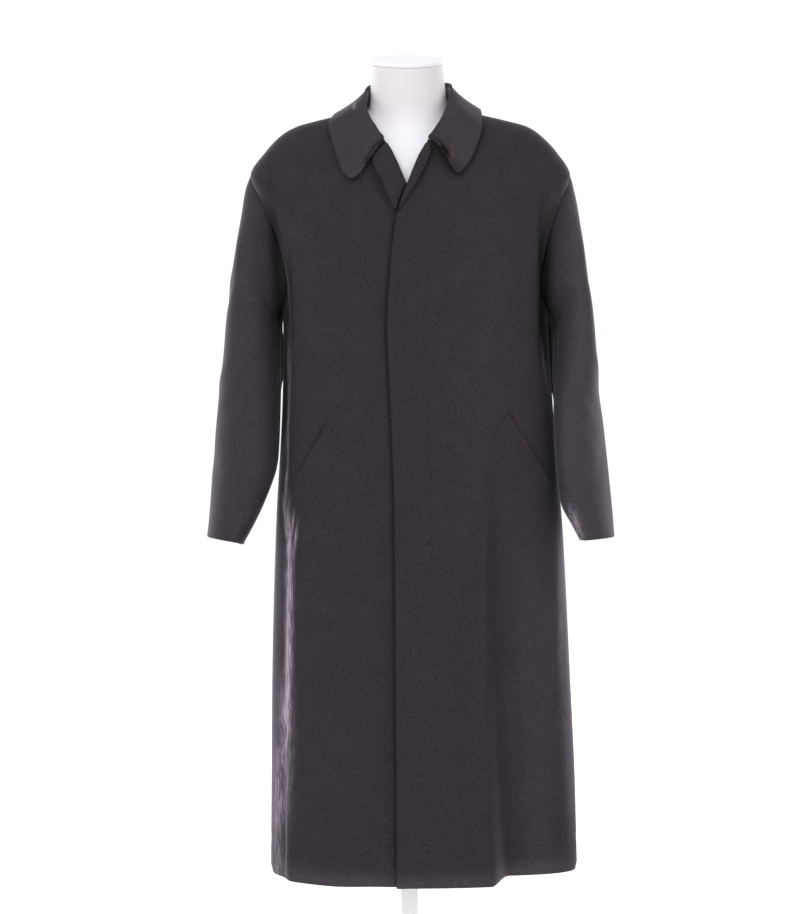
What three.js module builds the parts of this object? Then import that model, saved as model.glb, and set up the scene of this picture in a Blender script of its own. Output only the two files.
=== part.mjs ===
// A long wool overcoat on a limbless dress form with a round base.
// Millimetres, +Z up, the coat's front faces -Y. Left and right are the wearer's: left is +X.
// The origin is the middle of the base's underside, on the floor.

import * as THREE from "three";

// Driving sizes of the cloth
const CLOTH = 2.2; // thickness of the wool cloth
const SEAM = 0.3; // gap between pieces that meet at a seam
const LAP = 0.8; // gap between pieces that lie on each other
const HEM = 205; // height of the hem above the floor
const CUFF = 724; // height of the sleeve ends

// The coat's body as rings, a row for each, from the hem up to the neckline.
// side, frontZ and backZ are the ring's heights at the side, front and back; right, left, front and
// back its reach from the middle; round the exponent of its superellipse.
const BODY = [
  { side: HEM - 6, frontZ: HEM, backZ: HEM - 3, right: 221, left: 268, front: 155, back: 168, round: 2.25 },
  { side: 354, frontZ: 354, backZ: 354, right: 220, left: 264, front: 152, back: 165, round: 2.3 },
  { side: 498, frontZ: 498, backZ: 498, right: 219, left: 257, front: 150, back: 161, round: 2.35 },
  { side: 642, frontZ: 642, backZ: 642, right: 216, left: 250, front: 148, back: 156, round: 2.4 },
  { side: 760, frontZ: 760, backZ: 760, right: 212, left: 243, front: 147, back: 152, round: 2.45 },
  { side: 870, frontZ: 870, backZ: 870, right: 206, left: 233, front: 146, back: 148, round: 2.45 },
  { side: 980, frontZ: 980, backZ: 980, right: 202, left: 226, front: 145, back: 144, round: 2.6 },
  { side: 1086, frontZ: 1080, backZ: 1084, right: 202, left: 220, front: 143, back: 142, round: 2.9 },
  { side: 1150, frontZ: 1130, backZ: 1142, right: 208, left: 222, front: 142, back: 142, round: 3.0 },
  { side: 1210, frontZ: 1166, backZ: 1195, right: 222, left: 231, front: 141, back: 142, round: 3.0 },
  { side: 1262, frontZ: 1197, backZ: 1240, right: 239, left: 244, front: 139, back: 140, round: 2.9 },
  { side: 1304, frontZ: 1226, backZ: 1280, right: 253, left: 256, front: 136, back: 136, round: 2.7 },
  { side: 1340, frontZ: 1249, backZ: 1311, right: 230, left: 235, front: 131, back: 130, round: 2.6 },
  { side: 1366, frontZ: 1270, backZ: 1336, right: 206, left: 211, front: 125, back: 123, round: 2.5 },
  { side: 1381, frontZ: 1288, backZ: 1356, right: 181, left: 189, front: 119, back: 115, round: 2.45 },
  { side: 1390, frontZ: 1303, backZ: 1371, right: 151, left: 159, front: 112, back: 106, round: 2.4 },
  { side: 1398, frontZ: 1318, backZ: 1384, right: 120, left: 126, front: 103, back: 96, round: 2.3 },
  { side: 1405, frontZ: 1332, backZ: 1394, right: 95, left: 97, front: 93, back: 84, round: 2.2 },
  { side: 1411, frontZ: 1345, backZ: 1403, right: 73, left: 73, front: 82, back: 73, round: 2.1 },
];
const UNDERARM = 7; // the row at the foot of the armhole
const SHOULDER_END = 11; // the row at the top of the armhole
const NECKLINE = BODY.length - 1;
const ARMHOLE_SPREAD = 21; // degrees that the armhole opens to the front and to the back of the side line

// Soft vertical folds, a row for each: the angle round the body at their top and foot, the heights
// they run between, their half width in degrees and their depth (positive goes inwards).
const FOLDS = [
  { topAngle: -61, footAngle: -60, top: 1330, foot: 960, spread: 8, depth: 4 },
  { topAngle: -47, footAngle: -46, top: 1330, foot: 900, spread: 6, depth: -2 },
  { topAngle: -73, footAngle: -75, top: 1230, foot: 820, spread: 8, depth: 8 },
  { topAngle: 61, footAngle: 60, top: 1330, foot: 960, spread: 8, depth: 4 },
  { topAngle: 48, footAngle: 47, top: 1330, foot: 900, spread: 6, depth: -2 },
  { topAngle: 73, footAngle: 75, top: 1230, foot: 760, spread: 8, depth: 10 },
  { topAngle: -66, footAngle: -66, top: 840, foot: 120, spread: 7, depth: 9 },
  { topAngle: -54, footAngle: -54, top: 880, foot: 120, spread: 6, depth: -5 },
  { topAngle: -118, footAngle: -126, top: 1000, foot: 120, spread: 12, depth: 14 },
  { topAngle: -146, footAngle: -150, top: 860, foot: 120, spread: 9, depth: -10 },
  { topAngle: 118, footAngle: 122, top: 1020, foot: 120, spread: 12, depth: 16 },
  { topAngle: 148, footAngle: 144, top: 840, foot: 120, spread: 9, depth: -11 },
  { topAngle: 170, footAngle: 168, top: 700, foot: 120, spread: 7, depth: 7 },
];

// The left front's large drape fold: its ridge's distance from the middle, and the share of the
// depth that the cloth beside it falls back by.
const DRAPE = [
  { z: HEM, ridge: 126, share: 0.44 },
  { z: 380, ridge: 114, share: 0.36 },
  { z: 560, ridge: 111, share: 0.25 },
  { z: 720, ridge: 114, share: 0.12 },
  { z: 860, ridge: 118, share: 0 },
  { z: 1500, ridge: 118, share: 0 },
];
const DRAPE_STEP = 30; // width of the fold's steep side

// The front closing edge of the left front, and the two turned edges of the open neck above it.
const CLOSING = [
  { z: HEM, x: -20 },
  { z: 641, x: -22.5 },
  { z: 794, x: -24 },
  { z: 947, x: -30 },
  { z: 1039, x: -35 },
  { z: 1100, x: -34 },
  { z: 1176, x: -28 },
  { z: 1219, x: -23 },
  { z: 1253, x: -14 },
  { z: 1279, x: -4 },
];
const LEFT_ROLL = [
  { z: 1279, x: -4 },
  { z: 1303, x: 5 },
  { z: 1325, x: 14 },
  { z: 1350, x: 28 },
  { z: 1380, x: 43 },
  { z: 1410, x: 60 },
];
const RIGHT_ROLL = [
  { z: 1279, x: -4 },
  { z: 1313, x: -18 },
  { z: 1334, x: -28 },
  { z: 1354, x: -40 },
  { z: 1376, x: -52 },
  { z: 1410, x: -66 },
];
const NECK_POINT = 1279; // height where the two fronts part
const UNDERLAP = 32; // how far the right front runs under the left one, past the middle
const UNDERLAP_RISE = 60; // height over which the right front comes out from below the left one
const LAP_FADE = 120; // where, right of the middle, the right front is level with the left one again
const LAP_FADE_LENGTH = 60; // width over which it comes back level

// Where the turned-out lapels end, from the notch at the collar down to the closing edge
const RIGHT_LAPEL = [
  { z: 1236, x: -23.5 },
  { z: 1281, x: -44 },
  { z: 1318, x: -61 },
  { z: 1348, x: -43 },
];
const LEFT_LAPEL = [
  { z: 1249, x: -11.5 },
  { z: 1272, x: 0 },
  { z: 1297, x: 13.5 },
  { z: 1334, x: 33 },
  { z: 1346, x: 33.5 },
];
const LAPEL_STAND_OFF = 3.5; // how far a lapel's middle stands off the front
const LAPEL_CURVE = 0.7 * Math.PI; // the part of a half wave that a lapel follows across
const RIGHT_FACING = { low: 1239, high: 1345 }; // heights between which a facing shows
const LEFT_FACING = { low: 1251, high: 1343 };
const FOLD_SEAM = 0.4; // gap between a front's turned edge and its facing
const TUCK = 1.2; // how far the right facing stays clear of the closing edge

// The fold line of the collar, from the front end round to the middle of the back (for +X)
const COLLAR_FOLD = [
  { x: 34, y: -84, z: 1353 },
  { x: 36, y: -84, z: 1356 },
  { x: 39, y: -82, z: 1361 },
  { x: 44, y: -76, z: 1370 },
  { x: 52, y: -65, z: 1384 },
  { x: 60, y: -48, z: 1402 },
  { x: 66, y: -26, z: 1424 },
  { x: 67.5, y: 0, z: 1443 },
  { x: 62, y: 32, z: 1454 },
  { x: 42, y: 57, z: 1458 },
  { x: 0, y: 69, z: 1459 },
];
const COLLAR_SHIFT = -2; // how far the open neck sits to the wearer's right
const SHIFT_END = 8; // the level of the fold line where that ends
// The outer edge of the collar's fall at the same places, for the right and the left half.
// Where y is missing the edge lies on the front and its depth is worked out.
const RIGHT_EDGE = [
  { x: 66, z: 1304 },
  { x: 73, z: 1290 },
  { x: 84, z: 1285 },
  { x: 97, z: 1293 },
  { x: 108, z: 1310 },
  { x: 119, z: 1342 },
  { x: 126, z: 1372 },
  { x: 119, y: 4, z: 1406 },
  { x: 111, y: 60, z: 1403 },
  { x: 70, y: 92, z: 1400 },
  { x: 0, y: 104, z: 1400 },
];
const LEFT_EDGE = [
  { x: 60, z: 1312 },
  { x: 67, z: 1298 },
  { x: 75, z: 1291 },
  { x: 85, z: 1301 },
  { x: 95, z: 1316 },
  { x: 106, z: 1342 },
  { x: 113, z: 1370 },
  { x: 113, y: 4, z: 1408 },
  { x: 105, y: 58, z: 1404 },
  { x: 68, y: 92, z: 1400 },
  { x: 0, y: 104, z: 1400 },
];
const STAND_START = 5; // the level of the fold line at which it leaves the front and the stand starts
const STAND_INSET = 0.997; // the foot of the collar's stand against the neckline
const FALL_STAND_OFF = 5.5; // how far the fall's edge stands off the coat below it
const FRONT_BULGE = 4.5; // how far the middle of the fall curves out at the front
const SIDE_BULGE = 1.5; // and at the sides and the back
const FULL_FRONT = 7; // the level of the fold line where the fuller front ends

// The sleeves as level sections: the reach of their outer and inner sides from the middle of the
// coat, and of their front and back, and how far their front turns in.
const RIGHT_SLEEVE = [
  { z: 1340, outer: 232, inner: 200, front: -52, back: 52, turn: 0 },
  { z: 1304, outer: 252, inner: 207, front: -60, back: 60, turn: 0 },
  { z: 1280, outer: 261, inner: 208, front: -65, back: 64, turn: 0 },
  { z: 1243, outer: 267, inner: 209, front: -70, back: 70, turn: -3 },
  { z: 1166, outer: 278, inner: 209, front: -78, back: 79, turn: -7 },
  { z: 1090, outer: 289, inner: 205, front: -85, back: 84, turn: -5 },
  { z: 1013, outer: 297, inner: 204, front: -91, back: 84, turn: 2 },
  { z: 936, outer: 306, inner: 204.5, front: -96, back: 76, turn: 8 },
  { z: 878, outer: 311, inner: 206, front: -100, back: 66, turn: 14 },
  { z: 846, outer: 313, inner: 208.5, front: -102, back: 60, turn: 17 },
  { z: 821, outer: 315, inner: 215, front: -104, back: 54, turn: 18 },
  { z: 782, outer: 317, inner: 230, front: -108, back: 45, turn: 16 },
  { z: 752, outer: 319, inner: 244, front: -111, back: 38, turn: 13 },
  { z: CUFF, outer: 322, inner: 259, front: -114, back: 31, turn: 12 },
];
const LEFT_SLEEVE = [
  { z: 1340, outer: 236, inner: 208, front: -52, back: 52, turn: 0 },
  { z: 1304, outer: 255, inner: 212, front: -60, back: 60, turn: 0 },
  { z: 1280, outer: 262, inner: 217, front: -65, back: 64, turn: 0 },
  { z: 1243, outer: 269, inner: 221, front: -70, back: 70, turn: -4 },
  { z: 1166, outer: 278, inner: 223, front: -78, back: 79, turn: -9 },
  { z: 1090, outer: 288, inner: 224, front: -85, back: 84, turn: -12 },
  { z: 1013, outer: 297, inner: 227.5, front: -91, back: 84, turn: -3 },
  { z: 954, outer: 305, inner: 228, front: -95, back: 79, turn: 14 },
  { z: 915, outer: 311, inner: 227.5, front: -98, back: 73, turn: 21 },
  { z: 878, outer: 315, inner: 228.5, front: -100, back: 66, turn: 24 },
  { z: 821, outer: 320, inner: 232.5, front: -104, back: 54, turn: 25 },
  { z: 782, outer: 323, inner: 238.5, front: -108, back: 45, turn: 23 },
  { z: 752, outer: 325, inner: 254, front: -111, back: 38, turn: 18 },
  { z: CUFF, outer: 326, inner: 268, front: -114, back: 31, turn: 12 },
];
const SLEEVE_ROUND = 2.3; // exponent of a sleeve section's superellipse
const SLEEVE_ROWS = 20; // steps down a sleeve
const ARMHOLE_EASE = 95; // length over which the sleeve leaves the armhole's outline
const UNDERARM_EASE = 0.3; // share of that length that is left under the arm
const UNDERARM_GAP = 2.4; // how far the sleeve stands off the body under the arm
const TOP_SLEEVE_FRONT = 0.86; // share of the armhole's front that the top sleeve takes
const TOP_SLEEVE_BACK = 0.62; // share of the armhole's back that the top sleeve takes

// Slanted welt pockets: the upper and lower end of the opening edge, on the front
const WELTS = {
  left: { top: { x: 152, z: 927 }, foot: { x: 221, z: 818 } },
  right: { top: { x: -128, z: 912 }, foot: { x: -188, z: 806 } },
};
const WELT_WIDTH = 42;
const WELT_CLOTH = 1.8;
const WELT_GAP = 0.8; // between a welt and the front that it is sewn to

// The dress form as rings, like the coat's body, from its foot up to the neck. dip is the exponent of
// the ring's fall from side to front: 1 where the ring is cut flat.
const FORM = [
  { side: 700, frontZ: 700, backZ: 700, right: 148, left: 148, front: 104, back: 112, round: 2.2, dip: 2 },
  { side: 760, frontZ: 760, backZ: 760, right: 160, left: 160, front: 112, back: 124, round: 2.2, dip: 2 },
  { side: 850, frontZ: 850, backZ: 850, right: 168, left: 168, front: 116, back: 126, round: 2.25, dip: 2 },
  { side: 940, frontZ: 940, backZ: 940, right: 157, left: 157, front: 111, back: 108, round: 2.3, dip: 2 },
  { side: 1030, frontZ: 1030, backZ: 1030, right: 148, left: 148, front: 107, back: 98, round: 2.3, dip: 2 },
  { side: 1120, frontZ: 1110, backZ: 1118, right: 157, left: 157, front: 114, back: 106, round: 2.35, dip: 2 },
  { side: 1205, frontZ: 1170, backZ: 1195, right: 170, left: 170, front: 121, back: 116, round: 2.4, dip: 2 },
  { side: 1280, frontZ: 1205, backZ: 1258, right: 188, left: 188, front: 122, back: 120, round: 2.4, dip: 2 },
  { side: 1334, frontZ: 1236, backZ: 1304, right: 196, left: 196, front: 119, back: 117, round: 2.4, dip: 2 },
  { side: 1361, frontZ: 1262, backZ: 1334, right: 188, left: 188, front: 113, back: 111, round: 2.4, dip: 2 },
  { side: 1380.4, frontZ: 1284, backZ: 1356, right: 170, left: 172, front: 106, back: 103, round: 2.35, dip: 2 },
  { side: 1388.1, frontZ: 1303, backZ: 1374, right: 146, left: 148, front: 98, back: 93, round: 2.3, dip: 2 },
  { side: 1395.8, frontZ: 1318, backZ: 1386, right: 118, left: 120, front: 90, back: 83, round: 2.25, dip: 2 },
  { side: 1403.4, frontZ: 1333, backZ: 1394, right: 90, left: 91, front: 79, back: 72, round: 2.15, dip: 2 },
  { side: 1409, frontZ: 1350, backZ: 1402, right: 67.5, left: 67.5, front: 68, back: 64, round: 2.05, dip: 2 },
  { side: 1424, frontZ: 1374, backZ: 1421, right: 61, left: 61, front: 61.5, back: 60.5, round: 2, dip: 1.7 },
  { side: 1446, frontZ: 1408, backZ: 1447, right: 60, left: 60, front: 59.5, back: 60, round: 2, dip: 1.3 },
  { side: 1480, frontZ: 1459.7, backZ: 1500.3, right: 59, left: 59, front: 59, back: 59, round: 2, dip: 1 },
];
const NECK_CUT_SLOPE = 19; // degrees that the neck's cut face tips forwards
const NECK_CUT_Z = 1480; // height of the middle of the cut face
const CAP = { radius: 60.5, bevel: 1.5, thick: 7 };

// The stand
const BASE = { radius: 190, thick: 8, bevel: 2.5 };
const POLE_RADIUS = 14;

const DEG = Math.PI / 180;

// Catmull-Rom between the rows of a table, for one of its columns
function column(table, key, level) {
  const last = table.length - 1;
  const i = Math.min(Math.max(Math.floor(level), 0), last - 1);
  const t = level - i;
  const [a, b, c, d] = [i - 1, i, i + 1, i + 2].map((k) => table[Math.min(Math.max(k, 0), last)][key]);
  const slopeIn = (c - a) / 2;
  const slopeOut = (d - b) / 2;
  const bend = 3 * (c - b) - 2 * slopeIn - slopeOut;
  const twist = 2 * (b - c) + slopeIn + slopeOut;
  return b + slopeIn * t + bend * t * t + twist * t * t * t;
}

// The level of a table at which a column that only rises, or only falls, has a value
function levelOf(table, key, value) {
  let low = 0;
  let high = table.length - 1;
  const rising = table[high][key] > table[0][key];
  for (let i = 0; i < 40; i++) {
    const middle = (low + high) / 2;
    if (column(table, key, middle) < value === rising) low = middle;
    else high = middle;
  }
  return (low + high) / 2;
}

// Straight lines between the rows of a table whose first column is z
function lineAt(table, z, key = "x") {
  const rows = [...table].sort((a, b) => a.z - b.z);
  const above = rows.findIndex((row) => row.z >= z);
  if (above < 0) return rows.at(-1)[key];
  if (above === 0) return rows[0][key];
  const [low, high] = [rows[above - 1], rows[above]];
  return low[key] + ((high[key] - low[key]) * (z - low.z)) / (high.z - low.z);
}

const smooth = (t) => {
  const k = Math.min(Math.max(t, 0), 1);
  return k * k * (3 - 2 * k);
};
const power = (value, exponent) => Math.sign(value) * Math.abs(value) ** exponent;

// A point of a ring table, at an angle from the front towards the wearer's left
function ringPoint(table, angle, level) {
  const sine = Math.sin(angle * DEG);
  const cosine = Math.cos(angle * DEG);
  const at = (key) => column(table, key, level);
  const bend = 2 / at("round");
  const side = at("side");
  const end = cosine > 0 ? at("frontZ") : at("backZ");
  return new THREE.Vector3(
    at(sine < 0 ? "right" : "left") * power(sine, bend),
    -at(cosine > 0 ? "front" : "back") * power(cosine, bend),
    side + (end - side) * Math.abs(cosine) ** (table[0].dip ? at("dip") : 2),
  );
}

// How far all the soft folds together move a point of the body outwards
function foldOffset(angle, z) {
  return FOLDS.reduce((sum, fold) => {
    if (z >= fold.top || z <= fold.foot) return sum;
    const down = (fold.top - z) / (fold.top - fold.foot);
    const middle = fold.topAngle + (fold.footAngle - fold.topAngle) * down;
    const across = (angle - middle) / fold.spread;
    const fade = smooth((fold.top - z) / 110) * smooth((z - fold.foot) / 140);
    return sum - fold.depth * fade * Math.exp(-across * across);
  }, 0);
}

// A point of the coat's body, with its folds
function bodyPoint(angle, level) {
  const p = ringPoint(BODY, angle, level);
  const outwards = new THREE.Vector3(p.x, p.y * 1.7, 0).normalize();
  if (p.x > 0 && p.y < 0) {
    const share = lineAt(DRAPE, p.z, "share");
    const ridge = lineAt(DRAPE, p.z, "ridge");
    p.y *= 1 - share * smooth((p.x - ridge) / DRAPE_STEP);
  }
  return p.addScaledVector(outwards, foldOffset(angle, p.z));
}

// The outward normal of a surface of angle and level
function normalOf(surface, angle, level, top) {
  const turn = 0.6;
  const rise = 0.04;
  const low = Math.max(level - rise, 0);
  const high = Math.min(level + rise, top);
  const across = surface(angle + turn, level).sub(surface(angle - turn, level));
  const up = surface(angle, high).sub(surface(angle, low));
  return across.cross(up).normalize();
}

// A body point moved out along its normal
function liftedBody(angle, level, lift) {
  return bodyPoint(angle, level).addScaledVector(normalOf(bodyPoint, angle, level, NECKLINE), lift);
}

// The angle and level of the front at a distance from the middle and a height
function seat(x, z) {
  let low = 0;
  let high = NECKLINE;
  const angleAt = (level) => {
    const reach = Math.abs(x) / column(BODY, x < 0 ? "right" : "left", level);
    const sine = Math.min(reach, 1) ** (column(BODY, "round", level) / 2);
    return (Math.sign(x) * Math.asin(sine)) / DEG;
  };
  for (let i = 0; i < 40; i++) {
    const middle = (low + high) / 2;
    if (ringPoint(BODY, angleAt(middle), middle).z < z) low = middle;
    else high = middle;
  }
  const level = (low + high) / 2;
  return { angle: angleAt(level), level };
}

// The angle at which a ring crosses a line given as x for each z, on the front
function crossing(level, lineX) {
  let low = -89;
  let high = 89;
  for (let i = 0; i < 40; i++) {
    const middle = (low + high) / 2;
    const p = ringPoint(BODY, middle, level);
    if (p.x < lineX(p.z)) low = middle;
    else high = middle;
  }
  return (low + high) / 2;
}

// Points along one ring between two angles, evenly spaced, with a margin kept free at each end
function ringSpan(level, from, to, columns, marginFrom, marginTo, lift) {
  const steps = 96;
  const angles = Array.from({ length: steps + 1 }, (_, i) => from + ((to - from) * i) / steps);
  const points = angles.map((angle) => bodyPoint(angle, level));
  const lengths = [0];
  for (let i = 1; i <= steps; i++) lengths.push(lengths[i - 1] + points[i].distanceTo(points[i - 1]));
  const whole = lengths[steps] - marginFrom - marginTo;
  return Array.from({ length: columns + 1 }, (_, i) => {
    const wanted = marginFrom + (whole * i) / columns;
    let k = 1;
    while (k < steps && lengths[k] < wanted) k++;
    const share = (wanted - lengths[k - 1]) / (lengths[k] - lengths[k - 1]);
    const angle = angles[k - 1] + (angles[k] - angles[k - 1]) * share;
    const out = lift(angle, level);
    return {
      outer: liftedBody(angle, level, out),
      inner: liftedBody(angle, level, out - CLOTH),
    };
  });
}

// A closed wall between an outer and an inner grid of points
function wall(grid) {
  const rows = grid.length;
  const columns = grid[0].length;
  const positions = [];
  for (const side of ["outer", "inner"]) {
    for (const row of grid) for (const cell of row) positions.push(...cell[side].toArray());
  }
  const outer = (i, j) => i * columns + j;
  const inner = (i, j) => rows * columns + outer(i, j);
  const index = [];
  const quad = (a, b, c, d) => index.push(a, b, c, a, c, d);
  for (let i = 0; i < rows - 1; i++) {
    for (let j = 0; j < columns - 1; j++) {
      quad(outer(i, j), outer(i, j + 1), outer(i + 1, j + 1), outer(i + 1, j));
      quad(inner(i, j), inner(i + 1, j), inner(i + 1, j + 1), inner(i, j + 1));
    }
  }
  for (let j = 0; j < columns - 1; j++) {
    quad(outer(0, j), inner(0, j), inner(0, j + 1), outer(0, j + 1));
    quad(outer(rows - 1, j), outer(rows - 1, j + 1), inner(rows - 1, j + 1), inner(rows - 1, j));
  }
  for (let i = 0; i < rows - 1; i++) {
    quad(outer(i, 0), outer(i + 1, 0), inner(i + 1, 0), inner(i, 0));
    quad(outer(i, columns - 1), inner(i, columns - 1), inner(i + 1, columns - 1), outer(i + 1, columns - 1));
  }
  return facingOut(positions, index);
}

// A geometry whose faces point outwards
function facingOut(positions, index) {
  const at = (i) => new THREE.Vector3().fromArray(positions, index[i] * 3);
  let volume = 0;
  for (let i = 0; i < index.length; i += 3) volume += at(i).dot(at(i + 1).cross(at(i + 2)));
  const turned = volume > 0 ? index : index.map((_, i) => index[i - (i % 3) + [0, 2, 1][i % 3]]);
  const geometry = new THREE.BufferGeometry();
  geometry.setAttribute("position", new THREE.Float32BufferAttribute(positions, 3));
  geometry.setIndex(turned);
  geometry.computeVertexNormals();
  return geometry;
}

// The rows of the body's grid: the same for the fronts and the backs, so that seams match
const SKIRT_LEVELS = [0, 0.5, 1, 1.5, 2, 2.5, 3, 3.5, 4, 4.5, 5, 5.5, 6, 6.5];
const ARMHOLE_LEVELS = [7, 7.06, 7.2, 7.45, 7.85, 8.35, 8.9, 9.5, 10.1, 10.55, 10.85, 11];
const YOKE_LEVELS = [11.5, 12, 12.6, 13.2, 13.8, 14.4, 15, 15.6, 16.2, 16.8, 17.4, 18];
const LEVELS = [...SKIRT_LEVELS, ...ARMHOLE_LEVELS, ...YOKE_LEVELS];

// How far the armhole opens from the side line, in degrees
function armholeSpread(level) {
  if (level <= UNDERARM || level >= SHOULDER_END) return 0;
  const up = (level - UNDERARM) / (SHOULDER_END - UNDERARM);
  return ARMHOLE_SPREAD * Math.sin(Math.PI * up ** 0.85) ** 0.6;
}

const closingX = (z) => (z < NECK_POINT ? lineAt(CLOSING, z) : lineAt(LEFT_ROLL, z));
const underX = (z) => {
  if (z >= NECK_POINT) return lineAt(RIGHT_ROLL, z);
  const below = smooth((NECK_POINT - z) / UNDERLAP_RISE);
  return lineAt(CLOSING, NECK_POINT) + (UNDERLAP - lineAt(CLOSING, NECK_POINT)) * below;
};

// The right front lies below the left one by the closing edge, up to where the two part
function underLift(angle, level) {
  const { x, z } = ringPoint(BODY, angle, level);
  const across = smooth((x + LAP_FADE) / LAP_FADE_LENGTH);
  return -(CLOTH + LAP) * across * smooth((NECK_POINT + UNDERLAP_RISE - z) / UNDERLAP_RISE);
}

// A front or back: side is +1 for the wearer's left, and edge gives the angle of the free edge
function panel(side, edge, seamSide, columns, lift) {
  return wall(
    LEVELS.map((level) => {
      const top = level === NECKLINE ? level - 0.02 : level;
      const outerAngle = side * (90 - seamSide * armholeSpread(top));
      return ringSpan(top, edge(top), outerAngle, columns, SEAM / 2, SEAM / 2, lift);
    }),
  );
}

const frontLeft = () => panel(1, (level) => crossing(level, closingX), 1, 15, () => 0);
const frontRight = () => panel(-1, (level) => crossing(level, underX), 1, 14, underLift);
const back = (side) => panel(side, () => side * 180, -1, 11, () => 0);

// A sleeve's own outline at an angle round the arm (0 front, 90 outer, 180 back) and a height
function sleeveOutline(table, side, angle, z) {
  const level = levelOf(table, "z", z);
  const at = (key) => column(table, key, level);
  const halfDepth = (at("back") - at("front")) / 2;
  const turn = at("turn");
  const halfWidth = Math.sqrt(((at("outer") - at("inner")) / 2) ** 2 - turn ** 2);
  const sine = power(Math.sin(angle * DEG), 2 / SLEEVE_ROUND);
  const cosine = power(Math.cos(angle * DEG), 2 / SLEEVE_ROUND);
  return new THREE.Vector3(
    side * ((at("outer") + at("inner")) / 2 + halfWidth * sine - turn * cosine),
    (at("back") + at("front")) / 2 - halfDepth * cosine,
    z,
  );
}

// The armhole's outline, from the shoulder end down the front, and from the shoulder end down the back
function armholeSide(side, towards) {
  const points = [...ARMHOLE_LEVELS]
    .reverse()
    .map((level) => bodyPoint(side * (90 - towards * armholeSpread(level)), level));
  const lengths = [0];
  for (let i = 1; i < points.length; i++) {
    lengths.push(lengths[i - 1] + points[i].distanceTo(points[i - 1]));
  }
  const whole = lengths.at(-1);
  return points.map((point, i) => ({
    point,
    share: lengths[i] / whole,
    angle: 90 - (towards * 180 * lengths[i]) / whole,
  }));
}

// One lengthwise line of a sleeve, from its place on the armhole down to the cuff
function sleeveLine(table, side, start) {
  const away = sleeveOutline(table, side, start.angle, start.point.z);
  const shift = start.point.clone().sub(away);
  shift.x += (side * UNDERARM_GAP * (1 - Math.sin(start.angle * DEG))) / 2;
  const reach = ARMHOLE_EASE * (UNDERARM_EASE + ((1 - UNDERARM_EASE) * (1 + Math.sin(start.angle * DEG))) / 2);
  const line = Array.from({ length: SLEEVE_ROWS + 1 }, (_, i) => {
    const z = start.point.z + (CUFF - start.point.z) * (i / SLEEVE_ROWS) ** 1.15;
    const ease = 1 - smooth((start.point.z - z) / reach);
    return sleeveOutline(table, side, start.angle, z).addScaledVector(shift, ease);
  });
  line[0].addScaledVector(line[1].clone().sub(line[0]).normalize(), SEAM);
  return line;
}

// All the places of an armhole's outline: from the under seam at the front, over the shoulder end,
// down the back and back along the underarm; topCount of them belong to the top sleeve
function armholeRing(side) {
  const front = armholeSide(side, 1);
  const behind = armholeSide(side, -1);
  const frontTop = front.filter((start) => start.share <= TOP_SLEEVE_FRONT);
  const backTop = behind.filter((start) => start.share > 0 && start.share <= TOP_SLEEVE_BACK);
  const backUnder = behind.filter((start) => start.share > TOP_SLEEVE_BACK);
  const frontUnder = front.filter((start) => start.share > TOP_SLEEVE_FRONT && start.share < 1);
  return {
    starts: [...frontTop.reverse(), ...backTop, ...backUnder, ...frontUnder.reverse()],
    topCount: frontTop.length + backTop.length,
  };
}

// The two pieces of a sleeve, top and under, which meet in lengthwise seams
function sleevePieces(table, side) {
  const { starts, topCount } = armholeRing(side);
  const lines = starts.map((start) => sleeveLine(table, side, start));
  const count = lines.length;
  const grid = Array.from({ length: SLEEVE_ROWS + 1 }, (_, i) =>
    lines.map((line, j) => {
      const across = lines[(j + 1) % count][i].clone().sub(lines[(j + count - 1) % count][i]);
      const along = line[Math.min(i + 1, SLEEVE_ROWS)].clone().sub(line[Math.max(i - 1, 0)]);
      const normal = across.clone().cross(along).normalize().multiplyScalar(side);
      return { outer: line[i], inner: line[i].clone().addScaledVector(normal, -CLOTH), across };
    }),
  );
  const piece = (from, to) =>
    wall(
      grid.map((row) =>
        Array.from({ length: to - from + 1 }, (_, k) => {
          const cell = row[(from + k) % count];
          const inset = (k === 0 ? SEAM / 2 : 0) - (k === to - from ? SEAM / 2 : 0);
          const shift = cell.across.clone().setLength(inset);
          return { outer: cell.outer.clone().add(shift), inner: cell.inner.clone().add(shift) };
        }),
      ),
    );
  return { top: piece(0, topCount - 1), under: piece(topCount - 1, count) };
}

// A lapel facing that lies on a front, between its turned edge and its free edge
function lapel(inner, outer, { low, high }, lift) {
  const rows = 10;
  const columns = 4;
  return wall(
    Array.from({ length: rows + 1 }, (_, i) => {
      const z = low + ((high - low) * i) / rows;
      return Array.from({ length: columns + 1 }, (_, j) => {
        const across = j / columns;
        const x = inner(z) + (outer(z) - inner(z)) * across;
        const place = seat(x, z);
        const lying = lift(place.angle, place.level) + SEAM + CLOTH;
        const out = lying + LAPEL_STAND_OFF * Math.sin(LAPEL_CURVE * across);
        return {
          outer: liftedBody(place.angle, place.level, out),
          inner: liftedBody(place.angle, place.level, out - CLOTH),
        };
      });
    }),
  );
}

function rightLapel() {
  const inner = (z) => (z > NECK_POINT ? lineAt(RIGHT_ROLL, z) - FOLD_SEAM : lineAt(CLOSING, z) - TUCK);
  return lapel(inner, (z) => lineAt(RIGHT_LAPEL, z), RIGHT_FACING, underLift);
}

function leftLapel() {
  const inner = (z) => lineAt(z > NECK_POINT ? LEFT_ROLL : CLOSING, z) + FOLD_SEAM;
  return lapel(inner, (z) => lineAt(LEFT_LAPEL, z), LEFT_FACING, () => 0);
}

// The collar's fold line, the foot of its stand and the edge of its fall, at one place of a half
function collarFold(side, level) {
  const point = new THREE.Vector3(...["x", "y", "z"].map((key) => column(COLLAR_FOLD, key, level)));
  point.x = point.x * side + COLLAR_SHIFT * smooth((SHIFT_END - level) / 4);
  return point;
}

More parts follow.
